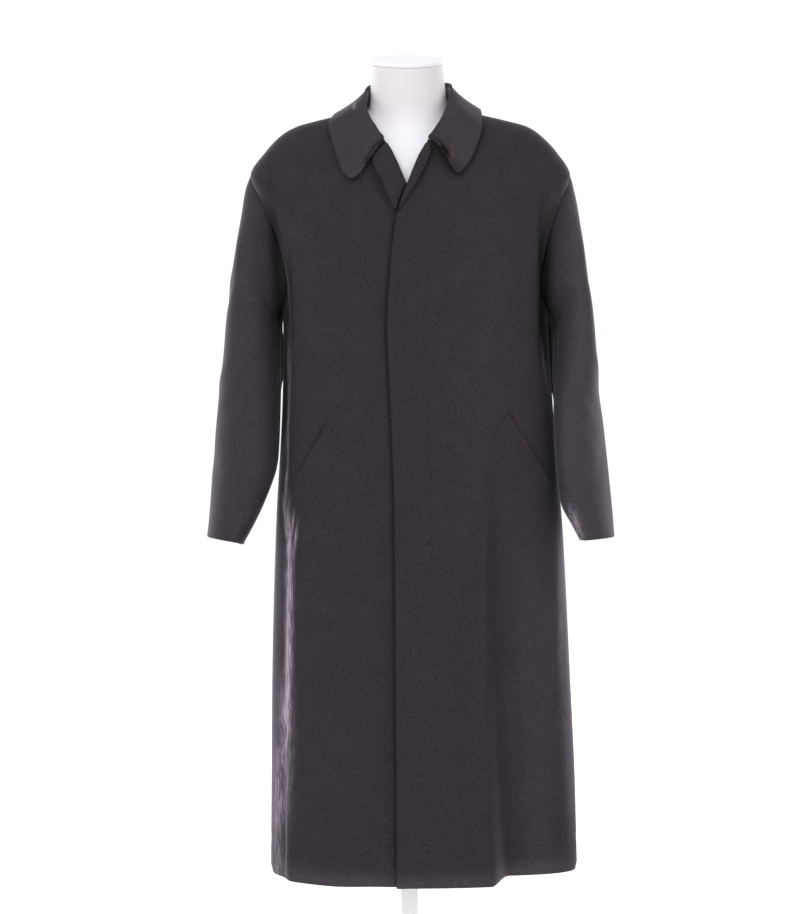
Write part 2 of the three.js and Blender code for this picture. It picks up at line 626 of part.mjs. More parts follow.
function collarEdge(side, level) {
  const table = side > 0 ? LEFT_EDGE : RIGHT_EDGE;
  const rows = table.map((row) => {
    if (row.y !== undefined) return row;
    const place = seat(side * row.x, row.z);
    const point = liftedBody(place.angle, place.level, FALL_STAND_OFF);
    return { x: Math.abs(point.x), y: point.y, z: point.z };
  });
  return new THREE.Vector3(side * column(rows, "x", level), column(rows, "y", level), column(rows, "z", level));
}

// Places along the collar: from the end of the right half, round the back, to the end of the left
const COLLAR_PLACES = (() => {
  const last = COLLAR_FOLD.length - 1;
  const half = Array.from({ length: 19 }, (_, i) => (last * i) / 18);
  return [
    ...half.map((level) => ({ side: -1, level })),
    ...half.slice(0, -1).reverse().map((level) => ({ side: 1, level })),
  ];
})();

function collarFall() {
  const drops = 6;
  const lines = COLLAR_PLACES.map(({ side, level }) => {
    const fold = collarFold(side, level);
    const edge = collarEdge(side, level);
    const fall = edge.clone().sub(fold);
    const along = collarFold(side, Math.min(level + 0.3, COLLAR_FOLD.length - 1));
    along.sub(collarFold(side, Math.max(level - 0.3, 0)));
    const out = fall.clone().cross(along).normalize();
    if (out.dot(new THREE.Vector3(edge.x, edge.y, 60)) < 0) out.negate();
    const bulge = SIDE_BULGE + (FRONT_BULGE - SIDE_BULGE) * smooth((FULL_FRONT - level) / 2);
    return Array.from({ length: drops + 1 }, (_, i) => {
      const down = i / drops;
      const point = fold.clone().addScaledVector(fall, down);
      return point.addScaledVector(out, CLOTH + LAP + bulge * Math.sin(Math.PI * down));
    });
  });
  return sheet(lines, () => new THREE.Vector3(0, 0, 1));
}

function collarStand() {
  const rises = 3;
  const places = COLLAR_PLACES.filter((place) => place.level >= STAND_START);
  const lines = places.map(({ side, level }) => {
    const fold = collarFold(side, level);
    const angle = Math.atan2(fold.x, -fold.y) / DEG;
    const foot = bodyPoint(angle, NECKLINE);
    foot.z += SEAM;
    foot.x *= STAND_INSET;
    foot.y *= STAND_INSET;
    return Array.from({ length: rises + 1 }, (_, i) => foot.clone().lerp(fold, i / rises));
  });
  return sheet(lines, (point) => new THREE.Vector3(point.x, point.y, 0));
}

// A wall from lines of outer points; outward gives the way its outer face looks at a point
function sheet(lines, outward) {
  const last = lines.length - 1;
  const grid = lines.map((line, i) =>
    line.map((point, j) => {
      const across = lines[Math.min(i + 1, last)][j].clone().sub(lines[Math.max(i - 1, 0)][j]);
      const along = line[Math.min(j + 1, line.length - 1)].clone().sub(line[Math.max(j - 1, 0)]);
      const normal = across.cross(along).normalize();
      if (normal.dot(outward(point)) < 0) normal.negate();
      return { outer: point.clone(), inner: point.clone().addScaledVector(normal, -CLOTH) };
    }),
  );
  return wall(grid);
}

// A slanted welt that lies on a front
function welt(side) {
  const { top, foot } = side > 0 ? WELTS.left : WELTS.right;
  const rows = 8;
  const columns = 3;
  const run = new THREE.Vector2(foot.x - top.x, foot.z - top.z);
  const across = new THREE.Vector2(side * run.y, -side * run.x).normalize().multiplyScalar(WELT_WIDTH);
  return wall(
    Array.from({ length: rows + 1 }, (_, i) =>
      Array.from({ length: columns + 1 }, (_, j) => {
        const x = top.x + (run.x * i) / rows + (across.x * j) / columns;
        const z = top.z + (run.y * i) / rows + (across.y * j) / columns;
        const place = seat(x, z);
        return {
          outer: liftedBody(place.angle, place.level, WELT_GAP + WELT_CLOTH),
          inner: liftedBody(place.angle, place.level, WELT_GAP),
        };
      }),
    ),
  );
}

// A solid of rings with a flat foot and head
function ringSolid(rings) {
  const count = rings[0].length;
  const positions = rings.flat().flatMap((point) => point.toArray());
  const index = [];
  for (let i = 0; i < rings.length - 1; i++) {
    for (let j = 0; j < count; j++) {
      const next = (j + 1) % count;
      const [a, b] = [i * count + j, i * count + next];
      index.push(a, b, b + count, a, b + count, a + count);
    }
  }
  for (const [ring, turned] of [[0, true], [rings.length - 1, false]]) {
    const middle = rings[ring].reduce((sum, point) => sum.add(point), new THREE.Vector3());
    middle.multiplyScalar(1 / count);
    positions.push(...middle.toArray());
    const centre = positions.length / 3 - 1;
    for (let j = 0; j < count; j++) {
      const edge = [ring * count + j, ring * count + ((j + 1) % count)];
      index.push(centre, ...(turned ? edge.reverse() : edge));
    }
  }
  return facingOut(positions, index);
}

function formTorso() {
  const count = 40;
  const levels = Array.from({ length: 29 }, (_, i) => ((FORM.length - 1) * i) / 28);
  return ringSolid(
    levels.map((level) =>
      Array.from({ length: count }, (_, j) => ringPoint(FORM, (360 * j) / count, level)),
    ),
  );
}

// A round plate with bevelled edges, its foot at z 0
function roundPlate(radius, thick, bevel, segments) {
  const profile = [
    [0, 0],
    [radius - bevel, 0],
    [radius, bevel],
    [radius, thick - bevel],
    [radius - bevel, thick],
    [0, thick],
  ].map(([x, y]) => new THREE.Vector2(x, y));
  const geometry = new THREE.LatheGeometry(profile, segments);
  geometry.rotateX(Math.PI / 2);
  return geometry;
}

const WOOL = new THREE.MeshStandardMaterial({ color: 0x3a353c, roughness: 0.95, metalness: 0 });
const WOOL_TRIM = new THREE.MeshStandardMaterial({ color: 0x423d44, roughness: 0.95, metalness: 0 });
const FORM_WHITE = new THREE.MeshStandardMaterial({ color: 0xf1eff2, roughness: 0.5, metalness: 0 });
const STAND_WHITE = new THREE.MeshStandardMaterial({ color: 0xf4f4f4, roughness: 0.35, metalness: 0.1 });

const coat = new THREE.Group();
const stand = new THREE.Group();

function add(group, name, geometry, material) {
  const mesh = new THREE.Mesh(geometry, material);
  mesh.name = name;
  group.add(mesh);
  return mesh;
}

add(coat, "front_left", frontLeft(), WOOL);
add(coat, "front_right", frontRight(), WOOL);
add(coat, "back_left", back(1), WOOL);
add(coat, "back_right", back(-1), WOOL);
for (const [name, side, table] of [["left", 1, LEFT_SLEEVE], ["right", -1, RIGHT_SLEEVE]]) {
  const pieces = sleevePieces(table, side);
  add(coat, `top_sleeve_${name}`, pieces.top, WOOL);
  add(coat, `under_sleeve_${name}`, pieces.under, WOOL);
}
add(coat, "collar_fall", collarFall(), WOOL);
add(coat, "collar_stand", collarStand(), WOOL);
add(coat, "facing_left", leftLapel(), WOOL_TRIM);
add(coat, "facing_right", rightLapel(), WOOL_TRIM);
add(coat, "welt_left", welt(1), WOOL_TRIM);
add(coat, "welt_right", welt(-1), WOOL_TRIM);

add(stand, "form_torso", formTorso(), FORM_WHITE);
const cap = add(stand, "neck_cap", roundPlate(CAP.radius, CAP.thick, CAP.bevel, 64), FORM_WHITE);
cap.rotation.x = NECK_CUT_SLOPE * DEG;
cap.position.set(0, 0, NECK_CUT_Z + SEAM / Math.cos(NECK_CUT_SLOPE * DEG));
add(stand, "base_plate", roundPlate(BASE.radius, BASE.thick, BASE.bevel, 72), STAND_WHITE);
const poleFoot = BASE.thick + SEAM;
const poleTop = FORM[0].side - SEAM;
const pole = add(
  stand,
  "pole",
  new THREE.CylinderGeometry(POLE_RADIUS, POLE_RADIUS, poleTop - poleFoot, 32),
  STAND_WHITE,
);
pole.rotation.x = Math.PI / 2;
pole.position.z = (poleFoot + poleTop) / 2;

const model = new THREE.Group();
model.add(coat, stand);

export default model;
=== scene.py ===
"""A long wool overcoat on a limbless dress form: the cloth's folds, its finish, the light and the camera.

Millimetres in the tables, metres in Blender. The coat's front faces -Y, and left is the wearer's left, +X.
"""
import math

import bpy
import numpy as np
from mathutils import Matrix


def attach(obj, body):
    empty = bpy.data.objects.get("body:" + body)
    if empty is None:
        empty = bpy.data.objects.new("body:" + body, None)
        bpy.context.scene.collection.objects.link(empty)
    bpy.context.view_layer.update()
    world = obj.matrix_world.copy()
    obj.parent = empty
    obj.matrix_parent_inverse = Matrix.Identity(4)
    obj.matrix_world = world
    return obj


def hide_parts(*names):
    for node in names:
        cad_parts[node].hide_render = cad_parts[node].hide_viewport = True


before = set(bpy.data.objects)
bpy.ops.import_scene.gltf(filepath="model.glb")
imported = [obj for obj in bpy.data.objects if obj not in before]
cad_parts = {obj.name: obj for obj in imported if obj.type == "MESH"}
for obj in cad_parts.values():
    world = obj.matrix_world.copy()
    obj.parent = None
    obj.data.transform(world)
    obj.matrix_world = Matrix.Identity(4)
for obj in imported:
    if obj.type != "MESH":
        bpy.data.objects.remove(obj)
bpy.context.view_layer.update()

MM = 0.001


def table(names, *rows):
    """A table as a dict of named columns."""
    return {name: np.array(values, float) for name, values in zip(names.split(), zip(*rows))}


def marks(*rows):
    """A table of creases or marks, each along a chord."""
    return table("x0 z0 x1 z1 bow width height", *rows)


# Driving sizes of the cloth
CLOTH = 2.2  # thickness of the wool
SEAM = 0.3  # gap between pieces that meet at a seam
LAP = 0.8  # gap between pieces that lie on each other
HEM = 205  # height of the hem above the floor
HEM_TURN = 46  # depth of the turned hem and of the sleeves' turned ends
HEM_SWELL = 1.2  # how much thicker the turned hem is
HEM_ROUND = 2.2  # radius of the hem's outer edge
CUFF = 724  # height of the sleeve ends
CUFF_SWELL = 1.4  # how much thicker the turned ends are
RIM_ROUND = 1.7  # radius of a free edge
SEAM_ROUND = 0.7  # radius of a sewn edge
NECK_POINT = 1279  # height where the two fronts part
UNDERLAP = 32  # how far the right front runs under the left one, past the middle
UNDERLAP_RISE = 60  # height over which it comes out from below

# The coat's body as rings from the hem up to the neckline: heights at the side, front and back, reach
# to the wearer's right and left, depth to the front and back, and the superellipse's exponent
BODY = table(
    "side front_z back_z right left front back round",
    (HEM - 6, HEM, HEM - 3, 221, 268, 155, 168, 2.25),
    (354, 354, 354, 220, 264, 152, 165, 2.3),
    (498, 498, 498, 219, 257, 150, 161, 2.35),
    (642, 642, 642, 216, 250, 148, 156, 2.4),
    (760, 760, 760, 212, 243, 147, 152, 2.45),
    (870, 870, 870, 206, 233, 146, 148, 2.45),
    (980, 980, 980, 202, 226, 145, 144, 2.6),
    (1086, 1080, 1084, 202, 220, 143, 142, 2.9),
    (1150, 1130, 1142, 208, 222, 142, 142, 3.0),
    (1210, 1166, 1195, 222, 231, 141, 142, 3.0),
    (1262, 1197, 1240, 239, 244, 139, 140, 2.9),
    (1304, 1226, 1280, 253, 256, 136, 136, 2.7),
    (1340, 1249, 1311, 230, 235, 131, 130, 2.6),
    (1366, 1270, 1336, 206, 211, 125, 123, 2.5),
    (1381, 1288, 1356, 181, 189, 119, 115, 2.45),
    (1390, 1303, 1371, 151, 159, 112, 106, 2.4),
    (1398, 1318, 1384, 120, 126, 103, 96, 2.3),
    (1405, 1332, 1394, 95, 97, 93, 84, 2.2),
    (1411, 1345, 1403, 73, 73, 82, 73, 2.1),
)
UNDERARM = 7
SHOULDER_END = 11
NECKLINE = len(BODY["side"]) - 1
ARMHOLE_SPREAD = 21

# Soft vertical folds round the body: the angle at their top and foot, the heights they run between,
# their half width in degrees and their depth inwards
FOLDS = table(
    "top_angle foot_angle top foot spread depth",
    (-61, -60, 1330, 960, 8, 4),
    (-47, -46, 1330, 900, 6, -2),
    (-73, -75, 1230, 820, 8, 8),
    (61, 60, 1330, 960, 8, 4),
    (48, 47, 1330, 900, 6, -2),
    (73, 75, 1230, 925, 8, 10),
    (-66, -66, 840, 120, 7, 9),
    (-54, -54, 880, 120, 6, -5),
    (-118, -126, 1000, 120, 12, 14),
    (-146, -150, 860, 120, 9, -10),
    (118, 122, 1020, 120, 12, 16),
    (148, 144, 840, 120, 9, -11),
    (170, 168, 700, 120, 7, 7),
)

# The left front's large drape fold: its ridge's distance from the middle, and the share of the depth
# that the cloth beside it falls back by
DRAPE = table(
    "z ridge share",
    (200, 126, 0.44),
    (380, 114, 0.36),
    (560, 111, 0.25),
    (720, 114, 0.12),
    (860, 118, 0),
    (1500, 118, 0),
)
DRAPE_STEP = 30

# The closing edge, and the turned edges of the open neck above it
CLOSING = table(
    "z x",
    (200, -20),
    (641, -22.5),
    (794, -24),
    (947, -30),
    (1039, -35),
    (1100, -34),
    (1176, -28),
    (1219, -23),
    (1253, -14),
    (1279, -4),
)
LEFT_ROLL = table(
    "z x",
    (1279, -4),
    (1303, 5),
    (1325, 14),
    (1350, 28),
    (1380, 43),
    (1410, 60),
)
RIGHT_ROLL = table(
    "z x",
    (1279, -4),
    (1313, -18),
    (1334, -28),
    (1354, -40),
    (1376, -52),
    (1410, -66),
)
RIGHT_LAPEL = table(
    "z x",
    (1236, -23.5),
    (1281, -44),
    (1312, -58.5),
    (1317, -59.5),
    (1322, -57),
    (1346, -38),
)
LEFT_LAPEL = table(
    "z x",
    (1232, -18.5),
    (1246, -10),
    (1262, 1),
    (1277, 11),
    (1308, 27),
    (1330, 34.5),
    (1340, 33),
    (1346, 29),
)

# The collar's fold line, from its front end round to the middle of the back, and the edge of its fall
COLLAR_FOLD = table(
    "x y z",
    (34, -84, 1353),
    (36, -84, 1356),
    (40, -82, 1361),
    (45.5, -76, 1370),
    (53.5, -65, 1384),
    (61, -48, 1402),
    (65, -26, 1421),
    (66, 0, 1439),
    (59, 32, 1451),
    (42, 57, 1457),
    (0, 69, 1459),
)
COLLAR_SHIFT = {1: -4.5, -1: -7}
COLLAR_RISE = {1: 4.5, -1: 0}
COLLAR_ARCH = {1: 9, -1: 5}
RIGHT_EDGE = table(
    "x y z on_front",
    (70, 0, 1304, 1),
    (79, 0, 1290, 1),
    (91, 0, 1283, 1),
    (102, 0, 1294, 1),
    (110, 0, 1313, 1),
    (119, 0, 1342, 1),
    (126, 0, 1372, 1),
    (117, 4, 1402, 0),
    (110, 60, 1402, 0),
    (70, 92, 1400, 0),
    (0, 104, 1400, 0),
)
LEFT_EDGE = table(
    "x y z on_front",
    (60, 0, 1312, 1),
    (67, 0, 1298, 1),
    (75, 0, 1291, 1),
    (85, 0, 1301, 1),
    (95, 0, 1316, 1),
    (106, 0, 1342, 1),
    (113, 0, 1370, 1),
    (113, 4, 1408, 0),
    (105, 58, 1404, 0),
    (68, 92, 1400, 0),
    (0, 104, 1400, 0),
)

# Sleeves as level sections: the reach of their outer and inner side, and of their front and back, and
# how far their front turns in
RIGHT_SLEEVE = table(
    "z outer inner front back turn",
    (1340, 232, 200, -52, 52, 0),
    (1304, 252, 207, -60, 60, 0),
    (1280, 261, 208, -65, 64, 0),
    (1243, 267, 209, -70, 70, -3),
    (1166, 278, 209, -78, 79, -7),
    (1090, 289, 205, -85, 84, -5),
    (1013, 297, 204, -91, 84, 2),
    (936, 306, 204.5, -96, 76, 8),
    (878, 311, 206, -100, 66, 14),
    (846, 313, 208.5, -102, 60, 17),
    (821, 315, 215, -104, 54, 18),
    (782, 317, 230, -108, 45, 16),
    (752, 319, 244, -111, 38, 13),
    (CUFF, 322, 259, -114, 31, 12),
)
LEFT_SLEEVE = table(
    "z outer inner front back turn",
    (1340, 236, 208, -52, 52, 0),
    (1304, 255, 212, -60, 60, 0),
    (1280, 262, 217, -65, 64, 0),
    (1243, 269, 221, -70, 70, -4),
    (1166, 278, 223, -78, 79, -9),
    (1090, 288, 224, -85, 84, -12),
    (1013, 297, 227.5, -91, 84, -3),
    (954, 305, 228, -95, 79, 14),
    (915, 311, 227.5, -98, 73, 21),
    (878, 315, 228.5, -100, 66, 24),
    (821, 320, 232.5, -104, 54, 25),
    (782, 323, 238.5, -108, 45, 23),
    (752, 325, 254, -111, 38, 18),
    (CUFF, 326, 268, -114, 31, 12),
)
# How far each sleeve's end slants: its rise at the outer side, at the front, and all round
CUFF_SLANT = {1: (2.8, 6, 2.8), -1: (5.3, 4.8, 0.2)}
SLEEVE_ROUND = 2.3
ARMHOLE_EASE = 95
UNDERARM_EASE = 0.3
UNDERARM_GAP = 2.4
TOP_SLEEVE_FRONT = 0.86
TOP_SLEEVE_BACK = 0.62

# Slanted welts: the upper and lower end of the opening edge
WELTS = {1: ((152, 927), (221, 818)), -1: ((-128, 912), (-188, 806))}
WELT_WIDTH = 42

# The dress form, as rings like the coat's body; dip 1 where a ring is cut flat
FORM = table(
    "side front_z back_z right left front back round dip",
    (700, 700, 700, 148, 148, 104, 112, 2.2, 2),
    (760, 760, 760, 160, 160, 112, 124, 2.2, 2),
    (850, 850, 850, 168, 168, 116, 126, 2.25, 2),
    (940, 940, 940, 157, 157, 111, 108, 2.3, 2),
    (1030, 1030, 1030, 148, 148, 107, 98, 2.3, 2),
    (1120, 1110, 1118, 157, 157, 114, 106, 2.35, 2),
    (1205, 1170, 1195, 170, 170, 121, 116, 2.4, 2),
    (1280, 1205, 1258, 188, 188, 122, 120, 2.4, 2),
    (1334, 1236, 1304, 196, 196, 119, 117, 2.4, 2),
    (1361, 1262, 1334, 188, 188, 113, 111, 2.4, 2),
    (1380.4, 1284, 1356, 170, 172, 106, 103, 2.35, 2),
    (1388.1, 1303, 1374, 146, 148, 98, 93, 2.3, 2),
    (1395.8, 1318, 1386, 118, 120, 90, 83, 2.25, 2),
    (1403.4, 1333, 1394, 90, 91, 79, 72, 2.15, 2),
    (1409, 1350, 1402, 67.5, 67.5, 68, 64, 2.05, 2),
    (1424, 1374, 1421, 61, 61, 61.5, 60.5, 2, 1.7),
    (1446, 1408, 1447, 59.6, 59.6, 59.5, 60, 2, 1.3),
    (1483.4, 1466.2, 1500.6, 56.5, 56.5, 56.5, 56.5, 2, 1),
)

# Creases on the fronts: a chord from one end to the other in the front view, how far its middle bows
# to the side, its half width and its height outwards
FRONT_CREASES = marks(
    (32, 932, -6, 815, 5, 9, 1.6),
    (44, 925, 2, 800, 5, 10, -1.8),
    (118, 950, 112, 760, -4, 10, 2.6),
    (132, 890, 128, 640, 3, 12, -3.0),
    (150, 1320, 142, 1120, 6, 16, 1.6),
    (172, 1330, 168, 1130, 4, 10, -1.8),
    (-60, 1180, -80, 760, -10, 26, 1.8),
    (-118, 1240, -122, 980, 6, 22, -1.8),
    (-150, 1220, -160, 940, 4, 14, 1.6),
    (-70, 700, -78, 260, 8, 26, 2.4),
    (-112, 640, -124, 240, -6, 24, -2.6),
    (-150, 760, -158, 300, 5, 18, 2.2),
    (40, 660, 46, 250, -6, 24, 2.0),
    (76, 820, 80, 300, 5, 20, -2.4),
    (70, 1160, 74, 900, 8, 24, -1.5),
    (100, 1250, 96, 1000, -6, 18, 1.4),
    (186, 800, 206, 420, 8, 13, 3.4),
    (160, 760, 172, 330, -7, 11, -3.2),
    (222, 700, 236, 320, 5, 12, -2.8),
    (-166, 815, -186, 700, 3, 5, 2.2),
    (-176, 800, -192, 720, 2, 4, -2.0),
    (-184, 790, -196, 735, -2, 4, 1.8),
    (-190, 480, -206, 430, 3, 6, 1.8),
    (-180, 455, -204, 395, -3, 6, -1.8),
    (-192, 420, -208, 360, 2, 6, 1.8),
    (-186, 380, -206, 330, 3, 6, -1.6),
)
# Creases on the backs, given the same way
BACK_CREASES = marks(
    (-60, 1120, -84, 560, 12, 28, 3.2),
    (-30, 900, -42, 330, -8, 24, -3.0),
    (40, 1080, 60, 520, -10, 28, 3.0),
    (86, 960, 96, 420, 8, 24, -3.2),
    (130, 1180, 150, 700, -8, 22, 2.6),
    (-130, 1200, -142, 760, 9, 22, -2.6),
    (-110, 700, -120, 280, -6, 20, 3.0),
    (-165, 840, -180, 430, 6, 16, 2.8),
    (20, 620, 16, 260, 6, 22, 2.4),
    (120, 640, 140, 280, -8, 18, 3.2),
    (186, 860, 200, 420, 6, 16, -2.6),
    (-90, 1310, -40, 1250, 8, 16, 1.8),
    (96, 1315, 44, 1248, -8, 16, 1.8),
)
# Creases on the sleeves: angle round the arm (0 front, 90 outer, 180 back, 270 inner) against height
SLEEVE_CREASES = marks(
    (100, 1240, 60, 1120, 10, 14, 2.2),
    (40, 1170, 96, 1090, -8, 12, -2.2),
    (20, 1020, 110, 960, 10, 12, 2.4),
    (10, 975, 90, 925, -8, 11, -2.6),
    (150, 1010, 200, 955, 8, 13, 2.8),
    (160, 960, 230, 915, 8, 12, -2.8),
    (0, 890, 70, 850, 8, 11, 2.0),
    (120, 900, 60, 800, -12, 14, -1.3),
    (330, 860, 380, 790, 6, 10, 2.4),
    (300, 830, 372, 768, 6, 8, -2.6),
    (310, 800, 366, 745, 4, 7, 2.2),
    (190, 860, 260, 800, 8, 12, 2.6),
)

# Painted shade and light in the front view: shadows under the collar and lapel, highlights on ridges and
# outlines, a lighter hem; given like the creases, height is the share of the colour that is added
PAINTED_LIGHT_AND_SHADE = marks(
    (-420, 207, 460, 207, 0, 18, 0.85),
    (132, 980, 142, 60, -12, 12, -0.2),
    (122, 900, 133, 110, -15, 3.5, 0.16),
    (36, 1352, 76, 1278, 4, 13, -0.42),
    (-72, 1330, -16, 1216, -2, 5, -0.3),
    (-205, 980, -213, 120, 0, 9, 1.5),
    (228, 940, 264, 120, 2, 10, 1.9),
    (182, 860, 204, 60, 0, 38, 0.36),
    (124, 1400, 118, 620, 0, 60, 0.12),
    (203, 1280, 204, 960, 0, 5, -0.7),
    (-185, 1200, -186, 980, 0, 4, -0.45),
    (-193, 480, -201, 110, 0, 5, -0.5),
)
# Painted shade in the recess beside each armhole, given the same way
RECESS = marks(
    (-219, 1330, -196, 960, 0, 10, -0.55),
    (212, 1300, 213, 940, 0, 11, -0.5),
)
# Painted sheen: silvery highlight streaks on the creased cloth, given the same way
PAINTED_SHEEN_STREAKS = marks(
    (-188, 810, -193.5, 370, 3, 6, 1.3),
    (-191, 1080, -190, 780, 0, 1.8, 0.7),
    (-190, 850, -198, 760, 0, 2, 0.9),
    (-199, 810, -188, 690, 0, 2.2, 0.9),
    (-189, 800, -190, 690, 0, 1.8, 0.8),
    (-179, 785, -189, 690, 0, 1.6, 0.8),
    (-171, 775, -184, 690, 2, 1.5, 0.7),
    (-196, 540, -203, 250, 4, 12, 0.6),
    (-208, 440, -211, 140, 0, 6, 0.55),
    (-200, 330, -205, 150, 0, 6, 0.3),
    (246, 790, 272, 700, 0, 6, 0.9),
    (-232, 752, -262, 712, 0, 6, 0.6),
    (236, 760, 242, 480, 0, 4, 0.22),
    (-87, 1421, -88, 1401, 0, 2.2, 0.8),
)
# Rust-red marks, given the same way
RUST = marks(
    (60, 1350, 67, 1304, 3, 3.5, 0.28),
    (74, 1346, 62, 1312, -2, 3, 0.26),
    (154, 938, 181, 866, 3, 3, 0.3),
    (-16, 1250, -20, 1180, 0, 4, 0.07),
)
# The under sleeves' folds towards the body, given like the sleeves' creases
UNDER_FOLDS = {
    1: marks(
        (240, 1180, 240, 1050, 0, 30, 6),
        (238, 1150, 238, 800, 6, 24, 7),
        (252, 960, 250, 880, 0, 12, -3),
    ),
    -1: marks(
        (240, 1180, 240, 1050, 0, 30, 6),
        (238, 1068, 244, 952, 0, 24, 8),
        (250, 990, 246, 850, 0, 10, -3),
    ),
}


def column(tab, key, level):
    """Catmull-Rom between the rows of a table."""
    values = tab[key]
    last = len(values) - 1
    i = np.clip(np.floor(level), 0, last - 1).astype(int)
    t = level - i
    a, b, c, d = (values[np.clip(i + k, 0, last)] for k in (-1, 0, 1, 2))
    slope_in = (c - a) / 2
    slope_out = (d - b) / 2
    bend = 3 * (c - b) - 2 * slope_in - slope_out
    twist = 2 * (b - c) + slope_in + slope_out
    return b + slope_in * t + bend * t * t + twist * t ** 3


def line_at(tab, z, key="x"):
    """Straight lines between a table's rows, by z."""
    return np.interp(z, tab["z"], tab[key])


def smooth(t):
    k = np.clip(t, 0, 1)
    return k * k * (3 - 2 * k)


def bell(distance, reach):
    """1 at no distance, fading out over a short reach."""
    return np.exp(-((distance / reach) ** 2))


def in_front(y):
    """1 on the coat's front, fading out behind its sides."""
    return smooth((10 - y) / 40)


def power(value, exponent):
    return np.sign(value) * np.abs(value) ** exponent


def unit(vectors):
    return vectors / np.linalg.norm(vectors, axis=-1, keepdims=True)


def distances_along(points):
    """How far each point of a row lies from the row's start, along the row."""
    steps = np.linalg.norm(np.diff(points, axis=-2), axis=-1)
    return np.concatenate([np.zeros(steps.shape[:-1] + (1,)), np.cumsum(steps, -1)], -1)


def ring_points(tab, angle, level):
    """Points of a ring table, at angles from the front towards the wearer's left."""
    sine = np.sin(np.radians(angle))
    cosine = np.cos(np.radians(angle))
    bend = 2 / column(tab, "round", level)
    side = column(tab, "side", level)
    width = np.where(sine < 0, column(tab, "right", level), column(tab, "left", level))
    depth = np.where(cosine > 0, column(tab, "front", level), column(tab, "back", level))
    end = np.where(cosine > 0, column(tab, "front_z", level), column(tab, "back_z", level))
    dip = column(tab, "dip", level) if "dip" in tab else 2
    z = side + (end - side) * np.abs(cosine) ** dip
    return np.stack([width * power(sine, bend), -depth * power(cosine, bend), z], -1)


def rows_of(tab):
    """The rows of a table, each as a dict."""
    return [dict(zip(tab, values)) for values in zip(*tab.values())]


FOLD_TOP_FADE = 110
FOLD_FOOT_FADE = 140
FOLD_WAY = [1, 1.7, 0]  # the folds move in and out more to the front than to the sides


def fold_offset(angle, z):
    """How far all the vertical folds together move the body outwards."""
    out = 0
    for fold in rows_of(FOLDS):
        down = (fold["top"] - z) / (fold["top"] - fold["foot"])
        middle = fold["top_angle"] + (fold["foot_angle"] - fold["top_angle"]) * down
        fade = smooth((fold["top"] - z) / FOLD_TOP_FADE) * smooth((z - fold["foot"]) / FOLD_FOOT_FADE)
        out = out - fold["depth"] * fade * bell(angle - middle, fold["spread"])
    return out


def body_points(angle, level):
    """Points of the coat's body, with its folds."""
    p = ring_points(BODY, angle, level)
    outwards = unit(p * FOLD_WAY)
    past_ridge = p[..., 0] - line_at(DRAPE, p[..., 2], "ridge")
    drop = line_at(DRAPE, p[..., 2], "share") * smooth(past_ridge / DRAPE_STEP)
    p[..., 1] = np.where(p[..., 1] < 0, p[..., 1] * (1 - drop), p[..., 1])
    return p + outwards * fold_offset(angle, p[..., 2])[..., None]


LEVEL_STEP = 0.04
ANGLE_STEP = 0.6


def body_normals(angle, level):
    """Outward normals of the body at single places."""
    high = np.minimum(level + LEVEL_STEP, NECKLINE)
    low = np.maximum(level - LEVEL_STEP, 0)
    across = body_points(angle + ANGLE_STEP, level) - body_points(angle - ANGLE_STEP, level)
    up = body_points(angle, high) - body_points(angle, low)
    return unit(np.cross(across, up))


CREASE_FADE = 0.35  # the share of a crease's length over which each end fades out
HALVINGS = 36


def creases(tab, x, z):
    """How far a table of creases moves points outwards."""
    out = np.zeros_like(x)
    for c in rows_of(tab):
        run = np.array([c["x1"] - c["x0"], c["z1"] - c["z0"]])
        length = np.hypot(*run)
        run = run / length
        along = ((x - c["x0"]) * run[0] + (z - c["z0"]) * run[1]) / length
        inside = np.clip(along, 0, 1)
        across = (z - c["z0"]) * run[0] - (x - c["x0"]) * run[1] - c["bow"] * 4 * inside * (1 - inside)
        fade = smooth(along / CREASE_FADE) * smooth((1 - along) / CREASE_FADE)
        out += c["height"] * fade * bell(across, c["width"])
    return out


def solve(function, low, high, wanted):
    """The place between low and high where a rising function has a value, for whole arrays."""
    low = np.full_like(wanted, low, dtype=float)
    high = np.full_like(wanted, high, dtype=float)
    for _ in range(HALVINGS):
        middle = (low + high) / 2
        below = function(middle) < wanted
        low = np.where(below, middle, low)
        high = np.where(below, high, middle)
    return (low + high) / 2


def seat(x, z):
    """Angles and levels of the front at places of the front view."""
    def angle_at(level):
        width = np.where(x < 0, column(BODY, "right", level), column(BODY, "left", level))
        sine = np.clip(np.abs(x) / width, 0, 1) ** (column(BODY, "round", level) / 2)
        return np.sign(x) * np.degrees(np.arcsin(sine))

    level = solve(lambda level: ring_points(BODY, angle_at(level), level)[..., 2], 0, NECKLINE, z)
    return angle_at(level), level


def grid_normals(points, reference):
    """Unit normals of a grid of points, turned towards the reference vectors."""
    rows = np.gradient(points, axis=0)
    columns = np.gradient(points, axis=1)
    normals = np.cross(columns, rows)
    normals /= np.maximum(np.linalg.norm(normals, axis=-1, keepdims=True), 1e-9)
    flip = np.sum(normals * reference) < 0
    return -normals if flip else normals


def add_object(name, data):
    obj = bpy.data.objects.new(name, data)
    bpy.context.scene.collection.objects.link(obj)
    return obj


def mesh_object(name, points, faces):
    """A smoothly shaded object from points in millimetres, its faces turned outwards."""
    mesh = bpy.data.meshes.new(name)
    mesh.from_pydata((points.reshape(-1, 3) * MM).tolist(), [], faces)
    mesh.validate()
    mesh.shade_smooth()
    face_out(mesh)
    return add_object(name, mesh)


def quads(*corners):
    return np.stack([corner.ravel() for corner in corners], 1)


